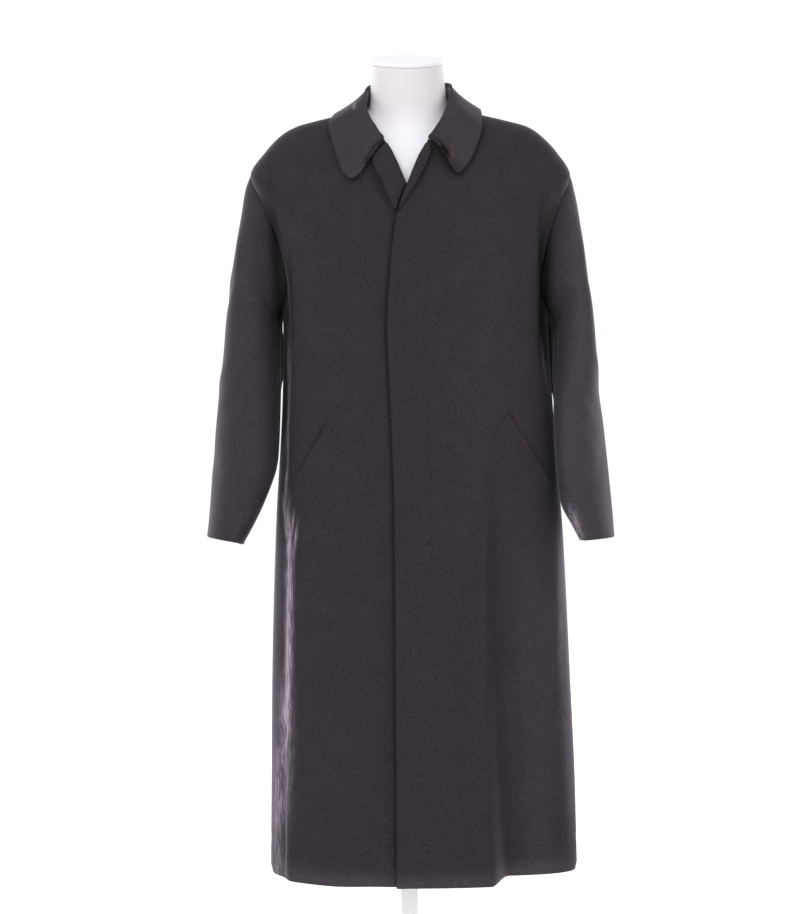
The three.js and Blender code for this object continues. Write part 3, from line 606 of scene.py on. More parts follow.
def wall_object(name, outer, inner):
    """A closed wall between two grids of points."""
    ids, under = np.arange(2 * outer[..., 0].size).reshape((2,) + outer.shape[:2])
    faces = [
        quads(ids[:-1, :-1], ids[:-1, 1:], ids[1:, 1:], ids[1:, :-1]),
        quads(under[:-1, :-1], under[1:, :-1], under[1:, 1:], under[:-1, 1:]),
        quads(ids[0, :-1], under[0, :-1], under[0, 1:], ids[0, 1:]),
        quads(ids[-1, :-1], ids[-1, 1:], under[-1, 1:], under[-1, :-1]),
        quads(ids[:-1, 0], ids[1:, 0], under[1:, 0], under[:-1, 0]),
        quads(ids[:-1, -1], under[:-1, -1], under[1:, -1], ids[1:, -1]),
    ]
    return mesh_object(name, np.concatenate([outer, inner]), np.concatenate(faces).tolist())


def face_out(mesh):
    """Turns a closed mesh's faces outwards."""
    co = np.empty(len(mesh.vertices) * 3)
    mesh.vertices.foreach_get("co", co)
    co = co.reshape(-1, 3)
    mesh.calc_loop_triangles()
    tris = np.empty(len(mesh.loop_triangles) * 3, int)
    mesh.loop_triangles.foreach_get("vertices", tris)
    a, b, c = (co[tris.reshape(-1, 3)[:, k]] for k in range(3))
    if np.sum(a * np.cross(b, c)) < 0:
        mesh.flip_normals()


def point_value(obj, name, values):
    """Keeps a value for each point of a wall's two faces, for its material."""
    attribute = obj.data.attributes.new(name, "FLOAT", "POINT")
    attribute.data.foreach_set("value", np.tile(np.ravel(values), 2).astype(np.float32))


def mark_values(obj, x, y, z, nap=0):
    """Keeps the front view's painted light, shade, sheen and rust on a piece, fading out behind its sides.
    """
    point_value(obj, "nap", (creases(PAINTED_LIGHT_AND_SHADE, x, z) + creases(RECESS, x, z)) * in_front(y) + nap)
    point_value(obj, "worn", creases(PAINTED_SHEEN_STREAKS, x, z) * in_front(y))
    point_value(obj, "rust", creases(RUST, x, z) * in_front(y))


OPENING_SHADE = 0.5
OPENING_WIDTH = 2
OPENING_END = 0.1  # the share of the opening over which its line fades out at each end


def opening_shade(x, z):
    """The painted shadow line along the pocket openings."""
    shade = 0
    for (top_x, top_z), (foot_x, foot_z) in WELTS.values():
        run = np.array([foot_x - top_x, foot_z - top_z])
        length = np.hypot(*run)
        along = ((x - top_x) * run[0] + (z - top_z) * run[1]) / length ** 2
        across = ((x - top_x) * run[1] - (z - top_z) * run[0]) / length
        ends = smooth(along / OPENING_END + 0.5) * smooth((1 - along) / OPENING_END + 0.5)
        shade = shade - OPENING_SHADE * ends * bell(across, OPENING_WIDTH)
    return shade


EDGE_STEPS = np.array([0, 0.6, 1.4, 2.6])


def edged_places(whole, count):
    """Places across a width, close together at its two edges."""
    return np.concatenate([EDGE_STEPS, np.linspace(4, whole - 4, count), whole - EDGE_STEPS[::-1]])


def rim(distance, radius=RIM_ROUND):
    """How far the outer face drops towards an edge, so that the edge is round."""
    near = np.clip(1 - distance / radius, 0, 1)
    return radius * (1 - np.sqrt(1 - near ** 2))


def armhole_spread(level):
    up = np.clip((level - UNDERARM) / (SHOULDER_END - UNDERARM), 0, 1)
    return ARMHOLE_SPREAD * np.sin(np.pi * up ** 0.85) ** 0.6


def closing_x(z):
    return np.where(z < NECK_POINT, line_at(CLOSING, z), line_at(LEFT_ROLL, z))


def under_x(z):
    top = line_at(CLOSING, NECK_POINT)
    below = top + (UNDERLAP - top) * smooth((NECK_POINT - z) / UNDERLAP_RISE)
    return np.where(z < NECK_POINT, below, line_at(RIGHT_ROLL, z))


BODY_LEVELS = np.concatenate([
    [0, 0.004, 0.009, 0.017],
    np.linspace(0.03, UNDERARM, 166)[:-1],
    UNDERARM + np.array([0, 0.001, 0.003, 0.007, 0.013, 0.021, 0.032, 0.046, 0.062]),
    np.linspace(UNDERARM + 0.08, SHOULDER_END, 52)[:-1],
    np.linspace(SHOULDER_END, NECKLINE - 0.02, 56),
])


def edge_angles(line_x):
    """The angle of each row of the body where it crosses a line of the front view."""
    def across(angle):
        p = ring_points(BODY, angle, BODY_LEVELS)
        return p[..., 0] - line_x(p[..., 2])

    return solve(across, -89, 89, np.zeros(len(BODY_LEVELS)))


ROW_SAMPLES = 240


def panel_grid(side, edge, seam_side, count):
    """Angles of a front's or back's grid, and each point's distance from its free and sewn edges."""
    outer = side * (90 - seam_side * armhole_spread(BODY_LEVELS))
    dense = edge[:, None] + (outer - edge)[:, None] * np.linspace(0, 1, ROW_SAMPLES)
    lengths = distances_along(body_points(dense, BODY_LEVELS[:, None]))
    angles, from_edge, from_seam = [], [], []
    for row in range(len(BODY_LEVELS)):
        whole = lengths[row, -1] - SEAM / 2
        places = edged_places(whole, count)
        angles.append(np.interp(places, lengths[row], dense[row]))
        from_edge.append(places)
        from_seam.append(whole - places)
    return np.array(angles), np.array(from_edge), np.array(from_seam)


SWELL_WIDTH = 26  # width over which the left front's folded edge is thicker
STITCH_DEPTH = 0.7
STITCH_WIDTH = 5


def panel_shade(z, from_edge, from_seam):
    """Painted shade along the edges and seams of a front or back, deepest below the arms."""
    shade = -0.5 * bell(from_edge, 1.2)
    shade = shade - (0.2 + 0.4 * smooth((1250 - z) / 70)) * bell(from_seam, 2.2)
    return shade - 0.3 * smooth((z - 1200) / 50) * bell(from_seam, 14)


def panel(name, side, edge, seam_side, count, tab, lift=None, edge_swell=0.0):
    """A front or back: the body's surface with its creases, as a wall with round edges."""
    angles, from_edge, from_seam = panel_grid(side, edge, seam_side, count)
    levels = np.broadcast_to(BODY_LEVELS[:, None], angles.shape)
    base = body_points(angles, levels)
    x, z = base[..., 0], base[..., 2]
    from_hem = z - HEM
    swell = edge_swell * smooth(1 - from_edge / SWELL_WIDTH)
    out = creases(tab, x, z) + swell
    out = out - rim(from_edge) - rim(from_seam, SEAM_ROUND) - rim(from_hem, HEM_ROUND)
    out = out - STITCH_DEPTH * bell(from_hem - HEM_TURN + 2, STITCH_WIDTH)
    if lift is not None:
        out = out + lift(x, z)
    normals = body_normals(angles, levels)
    outer = base + normals * out[..., None]
    thick = CLOTH + swell + HEM_SWELL * smooth(1 - from_hem / HEM_TURN)
    thick = thick - rim(from_edge) - rim(from_seam, SEAM_ROUND)
    inner = base + normals * (out - thick)[..., None]
    obj = wall_object(name, outer, inner)
    point_value(obj, "edge_mm", from_edge)
    point_value(obj, "height_mm", z)
    shade = panel_shade(z, from_edge, from_seam)
    if tab is FRONT_CREASES:
        shade = shade + opening_shade(x, z)
    if lift is not None:
        # Painted shadow beside the closing edge, where the left front lies over this one
        shade = shade - 0.4 * bell(x - closing_x(z) + 2, 3)
    mark_values(obj, x, base[..., 1], z, shade)
    return obj


UNDER_REACH = table(
    "z drop",
    (HEM, 9),
    (700, 7),
    (1100, 5.5),
    (NECK_POINT, 4),
)
LAP_START = -120  # the place across the right front where it starts to drop
LAP_STEP = 70


def under_lift(x, z):
    """The right front lies below the left one by the closing edge."""
    near_closing = smooth((x - LAP_START) / LAP_STEP)
    below_neck = smooth((NECK_POINT + UNDERLAP_RISE - z) / UNDERLAP_RISE)
    return -line_at(UNDER_REACH, z, "drop") * near_closing * below_neck


def sleeve_outline(tab, side, angle, z):
    """Points of a sleeve's own level sections."""
    level = len(tab["z"]) - 1 - solve_level(tab, z)
    outer, inner, front, back, turn = (
        column(tab, key, level) for key in ("outer", "inner", "front", "back", "turn")
    )
    half_depth = (back - front) / 2
    half_width = np.sqrt(((outer - inner) / 2) ** 2 - turn ** 2)
    sine = power(np.sin(np.radians(angle)), 2 / SLEEVE_ROUND)
    cosine = power(np.cos(np.radians(angle)), 2 / SLEEVE_ROUND)
    x = side * ((outer + inner) / 2 + half_width * sine - turn * cosine)
    y = (back + front) / 2 - half_depth * cosine
    return np.stack(np.broadcast_arrays(x, y, z), -1)


def solve_level(tab, z):
    last = len(tab["z"]) - 1
    return solve(lambda up: column(tab, "z", last - up), 0, last, np.asarray(z, float))


ARMHOLE_POINTS = 400
SLEEVE_COLUMNS = 61
SLEEVE_ROWS = 120
SLEEVE_HEAD_ROWS = [0, 0.0015, 0.0035, 0.0065]
SLEEVE_END_ROWS = [0.9935, 0.9965, 0.9985, 1]
HEAD_EASE = 30  # height over which the sleeve comes to stand off the body under the arm
HEAD_TUCK = 2.4  # how much further the head's inner half turns in, which closes the seam there
HEAD_FADE = 60  # height over which creases start below the head
CREASE_SHARE = 0.65
SLEEVE_SEAM = 0.5
SLEEVE_HAZE = {1: 0.7, -1: 0.45}  # painted light along the outer side
HAZE_MIDDLE = 85
HAZE_SPREAD = 38


def armhole_half(side, towards):
    """Half of an armhole's outline from the shoulder end down, with its share and sleeve angle."""
    levels = SHOULDER_END + (UNDERARM - SHOULDER_END) * np.linspace(0, 1, ARMHOLE_POINTS)
    points = body_points(side * (90 - towards * armhole_spread(levels)), levels)
    lengths = distances_along(points)
    share = np.linspace(0, 1, SLEEVE_COLUMNS)
    places = np.stack([np.interp(share * lengths[-1], lengths, points[:, k]) for k in range(3)], -1)
    return places, share, 90 - towards * 180 * share


def sleeve_grid(tab, side):
    """The outer points of a whole sleeve: rows down the arm, columns round it from the front under seam."""
    front, front_share, front_angle = armhole_half(side, 1)
    back, back_share, back_angle = armhole_half(side, -1)
    start = np.concatenate([front[::-1], back[1:-1]])
    angle = np.concatenate([front_angle[::-1], back_angle[1:-1]])
    share = np.concatenate([front_share[::-1], -back_share[1:-1]])
    middle_rows = np.linspace(0.012, 0.985, SLEEVE_ROWS)
    down = np.concatenate([SLEEVE_HEAD_ROWS, middle_rows, SLEEVE_END_ROWS])[:, None]
    outer_rise, front_rise, rise = CUFF_SLANT[side]
    sine = np.sin(np.radians(angle))
    cuff = CUFF + rise + outer_rise * sine + front_rise * np.cos(np.radians(angle))
    z = start[:, 2] + (cuff - start[:, 2]) * down
    grid_angle = np.broadcast_to(angle, z.shape)
    shift = start - sleeve_outline(tab, side, angle, start[:, 2])
    reach = ARMHOLE_EASE * (UNDERARM_EASE + (1 - UNDERARM_EASE) * (1 + sine) / 2)
    from_head = start[:, 2] - z
    ease = 1 - smooth(from_head / reach)
    points = sleeve_outline(tab, side, grid_angle, z) + shift * ease[..., None]
    stand_off = side * UNDERARM_GAP * (1 - sine) / 2
    points[..., 0] += stand_off * ease * smooth(from_head / HEAD_EASE)
    return points, grid_angle, share, from_head, z - cuff


def sleeve(side, tab, name, crease_rise):
    """The two pieces of a sleeve."""
    base, angle, share, from_head, from_cuff = sleeve_grid(tab, side)
    z = base[..., 2]
    wrapped = np.concatenate([base[:, -1:], base, base[:, :1]], 1)
    normals = grid_normals(wrapped, wrapped - base.mean(axis=1, keepdims=True))[:, 1:-1]
    round_arm = np.mod(angle + 90, 360) - 90
    out = CREASE_SHARE * sum(creases(SLEEVE_CREASES, round_arm + turn, z + crease_rise) for turn in (0, 360))
    out = out + creases(UNDER_FOLDS[side], round_arm, z)
    out = out * smooth(from_cuff / 30 + 0.25) * smooth(from_head / HEAD_FADE)
    outwards = np.sin(np.radians(angle))
    turned_in = np.where(outwards < 0, HEAD_TUCK * outwards, outwards)
    out = out - rim(from_cuff, HEM_ROUND) - rim(from_head, SEAM_ROUND) * turned_in
    pieces = []
    last_front = np.argmin(np.abs(share - TOP_SLEEVE_FRONT))
    first_back = np.argmin(np.abs(share + TOP_SLEEVE_BACK))
    count = base.shape[1]
    spans = {
        "top_sleeve": np.arange(last_front, first_back + 1),
        "under_sleeve": np.arange(first_back, last_front + count + 1) % count,
    }
    for piece, span in spans.items():
        part = base[:, span]
        places = distances_along(part)
        seam_distance = np.minimum(places, places[:, -1:] - places)
        lift = out[:, span] - SLEEVE_SEAM * bell(seam_distance, 1.5)
        thick = CLOTH + CUFF_SWELL * smooth(1 - from_cuff[:, span] / HEM_TURN)
        outer = part + normals[:, span] * lift[..., None]
        inner = part + normals[:, span] * (lift - thick)[..., None]
        obj = wall_object(f"{name}_{piece}", outer, inner)
        # Painted shade at the seams, near the head and in the recess; painted light outside; painted sheen
        seam_shade = 0.3 * bell(from_head[:, span], 2.5) + 0.4 * bell(seam_distance, 1.5)
        haze = bell(round_arm[:, span] - HAZE_MIDDLE, HAZE_SPREAD) * smooth((z[:, span] - 900) / 250)
        haze = SLEEVE_HAZE[side] * (haze - 0.6 * smooth(1 - from_head[:, span] / HEAD_FADE))
        x, y, level = part[..., 0], part[..., 1], part[..., 2]
        point_value(obj, "nap", haze - seam_shade + creases(RECESS, x, level) * (y < 0))
        point_value(obj, "worn", creases(PAINTED_SHEEN_STREAKS, x, level) * in_front(y))
        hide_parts(f"{piece}_{name}")
        pieces.append(obj)
    return pieces


def collar_fold(side, level):
    """Points of the collar's fold line."""
    p = np.stack([column(COLLAR_FOLD, key, level) for key in "xyz"], -1)
    p[..., 0] = p[..., 0] * side + COLLAR_SHIFT[side] * smooth((8 - level) / 4)
    p[..., 2] += COLLAR_RISE[side] * smooth(1 - np.abs(level - 7) / 3)
    return p


def lying_on_front(x, z, out):
    """Points at places of the front view, moved out from the front."""
    angle, level = seat(x, z)
    return body_points(angle, level) + body_normals(angle, level) * np.asarray(out)[..., None]


def collar_edge(side, level):
    """Points of the edge of the collar's fall."""
    tab = LEFT_EDGE if side > 0 else RIGHT_EDGE
    placed = lying_on_front(side * tab["x"], tab["z"], np.full(len(tab["x"]), 5.5))
    on_front = tab["on_front"] > 0
    edge = {
        "x": np.where(on_front, placed[:, 0], side * tab["x"]),
        "y": np.where(on_front, placed[:, 1], tab["y"]),
        "z": np.where(on_front, placed[:, 2], tab["z"]),
    }
    return np.stack([column(edge, key, level) for key in "xyz"], -1)


COLLAR_ROLL = 3.4  # radius of the roll over the fold line
COLLAR_CLOTH = 3.0
COLLAR_STEPS = 110
COLLAR_END_LEVELS = [0, 0.012, 0.03, 0.06]
STAND_COLUMNS = 9
STAND_START = 4  # the level of the fold line at which it leaves the front and the stand starts
ROLL_COLUMNS = 9
FALL_SHARES = np.concatenate([np.linspace(0.06, 0.95, 26), [0.965, 0.98, 0.99, 1]])
FRONT_BULGE = 4.5  # how far the middle of the fall curves out at the front
SIDE_BULGE = {1: -2.5, -1: -3}
END_SPACING = 10  # millimetres from the collar's front end to a level of its fold line


def arch_way(out, up, side):
    """How far and which way the front end of the collar's fall arches up."""
    way = np.cross(out, up)
    return way * np.sign(way[2]) * COLLAR_ARCH[side]


def stand_columns(fold, fall, out, angle, level):
    """The collar's stand from the neckline up, or only the fold's inside where it lies on the front."""
    neckline = body_points(angle, np.full(len(angle), NECKLINE - 0.02)) * [0.985, 0.985, 1] + [0, 0, 1]
    on_stand = smooth((level - STAND_START) / 1.6)[:, None]
    foot = (fold - out * 1.5 + fall * 0.02) * (1 - on_stand) + neckline * on_stand
    return [foot + (fold - foot) * rise for rise in np.linspace(0, 1, STAND_COLUMNS + 1)[:-1]]


def roll_columns(fold, up, out, level):
    """The round roll over the collar's fold line."""
    radius = COLLAR_ROLL * smooth((level + 0.4) / 1.5)[:, None]
    turns = np.radians(np.linspace(-70, 60, ROLL_COLUMNS))
    return [fold + (out * (math.sin(turn) + 0.7) + up * (math.cos(turn) - 0.5)) * radius for turn in turns]


def collar():
    """The whole collar: its stand, the roll over the fold line and the fall, as one wall."""
    last = len(COLLAR_FOLD["x"]) - 1
    half = np.concatenate([COLLAR_END_LEVELS, np.linspace(0.1, last, COLLAR_STEPS)])
    level = np.concatenate([half, half[::-1][1:]])
    fold = np.concatenate([collar_fold(-1, half), collar_fold(1, half[::-1][1:])])
    edge = np.concatenate([collar_edge(-1, half), collar_edge(1, half)[::-1][1:]])
    fall = edge - fold
    drop = np.linalg.norm(fall, axis=-1)
    up = -fall / drop[:, None]
    out = unit(np.cross(fall, np.gradient(fold, axis=0)))
    out *= np.sign(out[:, 2:3])
    angle = np.degrees(np.arctan2(fold[:, 0], -fold[:, 1]))
    columns = stand_columns(fold, fall, out, angle, level) + roll_columns(fold, up, out, level)
    # Painted light makes the stand four times as light; the fall gets painted shade along its edges and end
    shade = [np.full(len(level), 3.0)] * STAND_COLUMNS + [np.zeros(len(level))] * ROLL_COLUMNS
    on_left = smooth((angle + 40) / 80)
    side_bulge = SIDE_BULGE[-1] + (SIDE_BULGE[1] - SIDE_BULGE[-1]) * on_left
    bulge = side_bulge + (FRONT_BULGE - side_bulge) * smooth((7 - level) / 2)
    arch = np.where(on_left[:, None] > 0.5, arch_way(out[-1], up[-1], 1), arch_way(out[0], up[0], -1))
    arch = arch * (1 - smooth(level / 2.6))[:, None]
    from_end = level * END_SPACING
    for share in FALL_SHARES:
        from_edge = drop * (1 - share)
        shade.append(-0.6 * bell(np.minimum(from_edge, from_end), 1.6))
        stand_off = COLLAR_CLOTH + LAP + bulge * math.sin(math.pi * share ** 0.8)
        stand_off = stand_off - rim(from_edge, 2.4) - rim(from_end, 1.2)
        raised = arch * math.sin(math.pi * share) ** 0.7
        columns.append(fold + fall * share + out * stand_off[:, None] + raised)
    outer = np.stack(columns, 1)
    reference = np.broadcast_to(out[:, None], outer.shape).copy()
    reference[:, :STAND_COLUMNS] = 0
    inner = outer - grid_normals(outer, reference) * COLLAR_CLOTH
    obj = wall_object("collar", outer, inner)
    mark_values(obj, outer[..., 0], outer[..., 1], outer[..., 2], np.stack(shade, 1))
    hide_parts("collar_fall", "collar_stand")
    return obj


LAPEL_CLOTH = 2.6
LAPEL_STAND_OFF = 2.8
LAPEL_RISE = 5  # how far a lapel's middle stands off further
LAPEL_CURVE = 0.72 * np.pi  # the part of a half wave that a lapel follows across
LAPEL_FULL_WIDTH = 25
LAPEL_ROWS = 60
LEFT_LAPEL_LIFT = 1.2


def right_lapel_fold(z):
    return np.where(z > NECK_POINT, line_at(RIGHT_ROLL, z) + 0.2, line_at(CLOSING, z) - 1.5)


def left_lapel_fold(z):
    return np.where(z > NECK_POINT, line_at(LEFT_ROLL, z), line_at(CLOSING, z)) - 0.2


def left_lapel_lift(x, z):
    return np.full_like(x, LEFT_LAPEL_LIFT)


def lapel(side_name, inner_x, outer_tab, low, high, lift):
    """A turned-out front facing, with a round fold at its inner edge and a round outer edge."""
    z = np.linspace(low, high, LAPEL_ROWS)[:, None]
    across = np.concatenate([[0, 0.015, 0.04, 0.08], np.linspace(0.13, 0.92, 18), [0.95, 0.975, 0.99, 1]])
    width = np.abs(line_at(outer_tab, z) - inner_x(z))
    x = inner_x(z) + (line_at(outer_tab, z) - inner_x(z)) * across
    z = np.broadcast_to(z, x.shape)
    full = np.minimum(width / LAPEL_FULL_WIDTH, 1)
    out = SEAM + LAPEL_STAND_OFF + LAPEL_RISE * np.sin(LAPEL_CURVE * across) * full + lift(x, z)
    from_ends = np.minimum(z - low, high - z)
    out = out - rim(width * across, 2.4) - rim(width * (1 - across), 2.0) - rim(from_ends, 2.0)
    outer = lying_on_front(x, z, out)
    inner = lying_on_front(x, z, np.maximum(out - LAPEL_CLOTH, SEAM + lift(x, z)))
    obj = wall_object(f"{side_name}_facing", outer, inner)
    from_edge = np.minimum(np.minimum(width * across, width * (1 - across)), from_ends)
    # Painted shade along the lapel's edges and ends
    point_value(obj, "nap", -0.6 * bell(from_edge, 1.6))
    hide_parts(f"facing_{side_name}")
    return obj


WELT_CLOTH = 2.2
WELT_SLANT = 18  # how far its sewn edge lies further down than its opening edge
WELT_INSIDE = 0.6  # how far its back reaches into the front
WELT_ROWS = 50
WELT_COLUMNS = 16


def welt(side_name, side):
    """A slanted welt with round edges."""
    (top_x, top_z), (foot_x, foot_z) = WELTS[side]
    run = np.array([foot_x - top_x, foot_z - top_z], float)
    length = np.hypot(*run)
    run /= length
    across = np.array([side * run[1], -side * run[0]])
    down = edged_places(length, WELT_ROWS)[:, None]
    over = edged_places(WELT_WIDTH, WELT_COLUMNS)
    slant = WELT_SLANT * over / WELT_WIDTH
    x = top_x + run[0] * (down + slant) + across[0] * over
    z = top_z + run[1] * (down + slant) + across[1] * over
    lip = np.minimum(down, length - down)
    front = creases(FRONT_CREASES, x, z)
    out = WELT_CLOTH + 1.2 * smooth(1 - over / 12) - 1.7 * smooth((over - 26) / 16)
    out = out - 1.2 * smooth(1 - lip / 8) - rim(over, 2.4)
    outer = lying_on_front(x, z, front + out)
    inner = lying_on_front(x, z, front - WELT_INSIDE)
    obj = wall_object(f"{side_name}_welt", outer, inner)
    mark_values(obj, x, outer[..., 1], z, opening_shade(x, z))
    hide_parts(f"welt_{side_name}")
    return obj


NECK_LEAN = -3.8  # how far the neck's top leans to the wearer's right
NECK_FOOT = 1380
NECK_RISE = 110  # height over which the lean comes in
FORM_ROWS = 150
FORM_COLUMNS = 144


def form_torso():
    """The smooth body of the dress form, closed at its foot and neck."""
    size = (FORM_ROWS, FORM_COLUMNS)
    levels = np.broadcast_to(np.linspace(0, len(FORM["side"]) - 1, FORM_ROWS)[:, None], size)
    angles = np.broadcast_to(np.linspace(0, 360, FORM_COLUMNS + 1)[:-1], size)
    outer = ring_points(FORM, angles, levels)
    outer[..., 0] += NECK_LEAN * smooth((outer[..., 2] - NECK_FOOT) / NECK_RISE)
    middle = outer.mean(axis=1, keepdims=True)
    head = [middle[-1:] + (outer[-1:] - middle[-1:]) * share for share in (0.985, 0.02)]
    head[0] = head[0] + [0, 0, 0.3]
    foot = [middle[:1] + (outer[:1] - middle[:1]) * share for share in (0.02, 0.97)]
    outer[0] = outer[0] + [0, 0, 2]
    rings = np.concatenate(foot + [outer] + head)
    return lathe_object("dress_form", rings, "form_torso")


def lathe_object(name, rings, node):
    """A closed solid through rings of points."""
    rows, count = rings.shape[:2]
    ids = np.arange(rows * count).reshape(rows, count)
    turned = np.roll(ids, -1, axis=1)
    faces = quads(ids[:-1], turned[:-1], turned[1:], ids[1:]).tolist()
    faces += [ids[0][::-1].tolist(), ids[-1].tolist()]
    obj = mesh_object(name, rings, faces)
    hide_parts(node)
    return obj


CAP_SLOPE = math.radians(17)
CAP_HEIGHT = 1483.7
CAP_COLUMNS = 128


def neck_cap():
    """The slanted disc that closes the neck, with a round rim."""
    profile = table(
        "radius rise",
        (0.5, 0),
        (55.6, 0),
        (56.8, 0.4),
        (57.4, 1.5),
        (57.4, 5.4),
        (56.8, 6.6),
        (55.4, 7),
        (53.8, 6.7),
        (0.5, 6.7),
    )
    angles = np.radians(np.linspace(0, 360, CAP_COLUMNS + 1)[:-1])
    rings = []
    for radius, rise in zip(profile["radius"], profile["rise"]):
        x = NECK_LEAN + radius * np.cos(angles)
        across = radius * np.sin(angles)
        y = across * math.cos(CAP_SLOPE) - rise * math.sin(CAP_SLOPE)
        z = CAP_HEIGHT + across * math.sin(CAP_SLOPE) + rise * math.cos(CAP_SLOPE)
        rings.append(np.stack([x, y, z], -1))
    return lathe_object("neck_disc", np.array(rings), "neck_cap")


# Materials

class Shader:
    """A new material, with a short call for each kind of node that it is made of."""

    def __init__(self, name):
        self.material = bpy.data.materials.new(name)
        self.material.use_nodes = True
        self.tree = self.material.node_tree
        self.place = self.node("TexCoord", {}, "Object")

    def feed(self, node, values):
        """Sets inputs of a node to numbers or colours, or links them to other nodes."""
        for key, value in values.items():
            if isinstance(value, (int, float, tuple)):
                node.inputs[key].default_value = value
            else:
                self.tree.links.new(value, node.inputs[key])

    def node(self, kind, values, output=0, **settings):
        """A new node's output."""
        node = self.tree.nodes.new("ShaderNode" + kind)
        for key, setting in settings.items():
            setattr(node, key, setting)
        self.feed(node, values)
        return node.outputs[output]

    def surface(self, values):
        self.feed(self.tree.nodes["Principled BSDF"], values)

    def noise(self, vector, scale, detail=2.0, roughness=0.5):
        values = {"Vector": vector, "Scale": scale, "Detail": detail, "Roughness": roughness}
        return self.node("TexNoise", values, "Fac")

    def maths(self, operation, a, b=0):
        return self.node("Math", {0: a, 1: b}, operation=operation)

    def remap(self, value, low, high, to_low=0.0, to_high=1.0):
        values = {"Value": value, "From Min": low, "From Max": high, "To Min": to_low, "To Max": to_high}
        return self.node("MapRange", values, "Result", interpolation_type="SMOOTHSTEP")

    def mix(self, factor, first, second, blend="MIX"):
        values = {0: factor, 6: first, 7: second}
        return self.node("Mix", values, 2, data_type="RGBA", blend_type=blend)

    def value_of(self, name):
        return self.node("Attribute", {}, "Fac", attribute_name=name)

    def band(self, value, middle, half):
        """1 inside a narrow band round a value, 0 outside."""
        away = self.maths("ABSOLUTE", self.maths("SUBTRACT", value, middle))
        return self.remap(away, half * 0.5, half, 1.0, 0.0)

    def bump(self, height, strength, distance):
        values = {"Height": height, "Strength": strength, "Distance": distance}
        self.surface({"Normal": self.node("Bump", values, "Normal")})


DARK_FIBRES = (0.0142, 0.0115, 0.0149)
PALE_FIBRES = (0.0398, 0.0332, 0.0415)
# Colour of the painted sheen streaks
PAINTED_SHEEN_COLOUR = (0.34, 0.285, 0.345, 1)
RUST_COLOUR = (0.12, 0.046, 0.048, 1)
STITCH_COLOUR = (0.012, 0.01, 0.013, 1)
SHEEN_COLOUR = (0.86, 0.78, 0.92, 1)
SHEEN = 0.26
TWILL_SHARE = 0.35


def toned(colour, tone):
    return tuple(channel * tone for channel in colour) + (1,)


def wool_material(name, tone=1.0, stitch=None):
    """Charcoal melange wool: pale fibres among dark ones, soft mottling, a short nap and a fine twill."""
    shader = Shader(name)
    fibres = shader.remap(shader.noise(shader.place, 760, 3.0, 0.7), 0.34, 0.7)
    colour = shader.mix(fibres, toned(DARK_FIBRES, tone), toned(PALE_FIBRES, tone))
    patches = shader.remap(shader.noise(shader.place, 26, 4.0, 0.6), 0.3, 0.7, 0.94, 1.06)
    # Painted light, shade and sheen streaks, and rust marks
    colour = marked(shader, shader.mix(1.0, colour, patches, "MULTIPLY"))
    height = shader.noise(shader.place, 1100, 2.0, 0.6)
    height = shader.maths("ADD", height, shader.maths("MULTIPLY", twill(shader), TWILL_SHARE))
    if stitch:
        colour, height = stitch(shader, colour, height)
    shader.bump(height, 0.35, 0.0004)
    shader.surface({
        "Base Color": colour,
        "Roughness": 0.95,
        "Specular IOR Level": 0.15,
        "Sheen Roughness": 0.25,
        "Sheen Tint": SHEEN_COLOUR,
    })
    return shader.material


def twill(shader):
    """The weave's fine slanted lines."""
    values = {"Vector": shader.place, "Scale": 320, "Distortion": 2.5, "Detail Scale": 3}
    return shader.node("TexWave", values, "Fac", bands_direction="DIAGONAL")


def marked(shader, colour):
    """Painted light and shade, which scale the sheen too, painted sheen streaks and the rust marks."""
    share = shader.maths("ADD", shader.value_of("nap"), 1)
    shader.surface({"Sheen Weight": shader.maths("MULTIPLY", share, SHEEN)})
    grey = shader.node("CombineColor", {0: share, 1: share, 2: share}, "Color")
    colour = shader.mix(1.0, colour, grey, "MULTIPLY")
    stretched = shader.node("Mapping", {"Vector": shader.place, "Scale": (1, 1, 0.12)})
    streaks = shader.remap(shader.noise(stretched, 330, 3.0, 0.6), 0.38, 0.66, 0.25, 1.0)
    worn = shader.maths("MULTIPLY", streaks, shader.value_of("worn"))
    colour = shader.mix(worn, colour, PAINTED_SHEEN_COLOUR)
    speckle = shader.remap(shader.noise(shader.place, 420, 3.0, 0.7), 0.4, 0.6)
    rust = shader.maths("MULTIPLY", speckle, shader.value_of("rust"))
    return shader.mix(rust, colour, RUST_COLOUR)


FLY_STITCH = 56  # how far the fly's stitches run from the closing edge
FLY_FOOT = 696
FLY_TOP = 1233
STITCH_HALF = 1.6


def fly_stitch(shader, colour, height):
    """The faint row of stitches down the fly, and its short bar at the foot."""
    edge = shader.value_of("edge_mm")
    level = shader.value_of("height_mm")
    row = shader.band(edge, FLY_STITCH, STITCH_HALF)
    row = shader.maths("MULTIPLY", row, shader.remap(level, FLY_FOOT - 2, FLY_FOOT + 2))
    row = shader.maths("MULTIPLY", row, shader.remap(level, FLY_TOP + 5, FLY_TOP - 5))
    beside = shader.remap(edge, FLY_STITCH + 1, FLY_STITCH - 1)
    bar = shader.maths("MULTIPLY", shader.band(level, FLY_FOOT, STITCH_HALF), beside)
    lines = shader.maths("MAXIMUM", row, bar)
    colour = shader.mix(shader.maths("MULTIPLY", lines, 0.2), colour, STITCH_COLOUR)
    return colour, shader.maths("SUBTRACT", height, shader.maths("MULTIPLY", lines, 0.8))


NECK_COLOUR = (0.63, 0.595, 0.622, 1)
DISC_COLOUR = (0.76, 0.75, 0.78, 1)


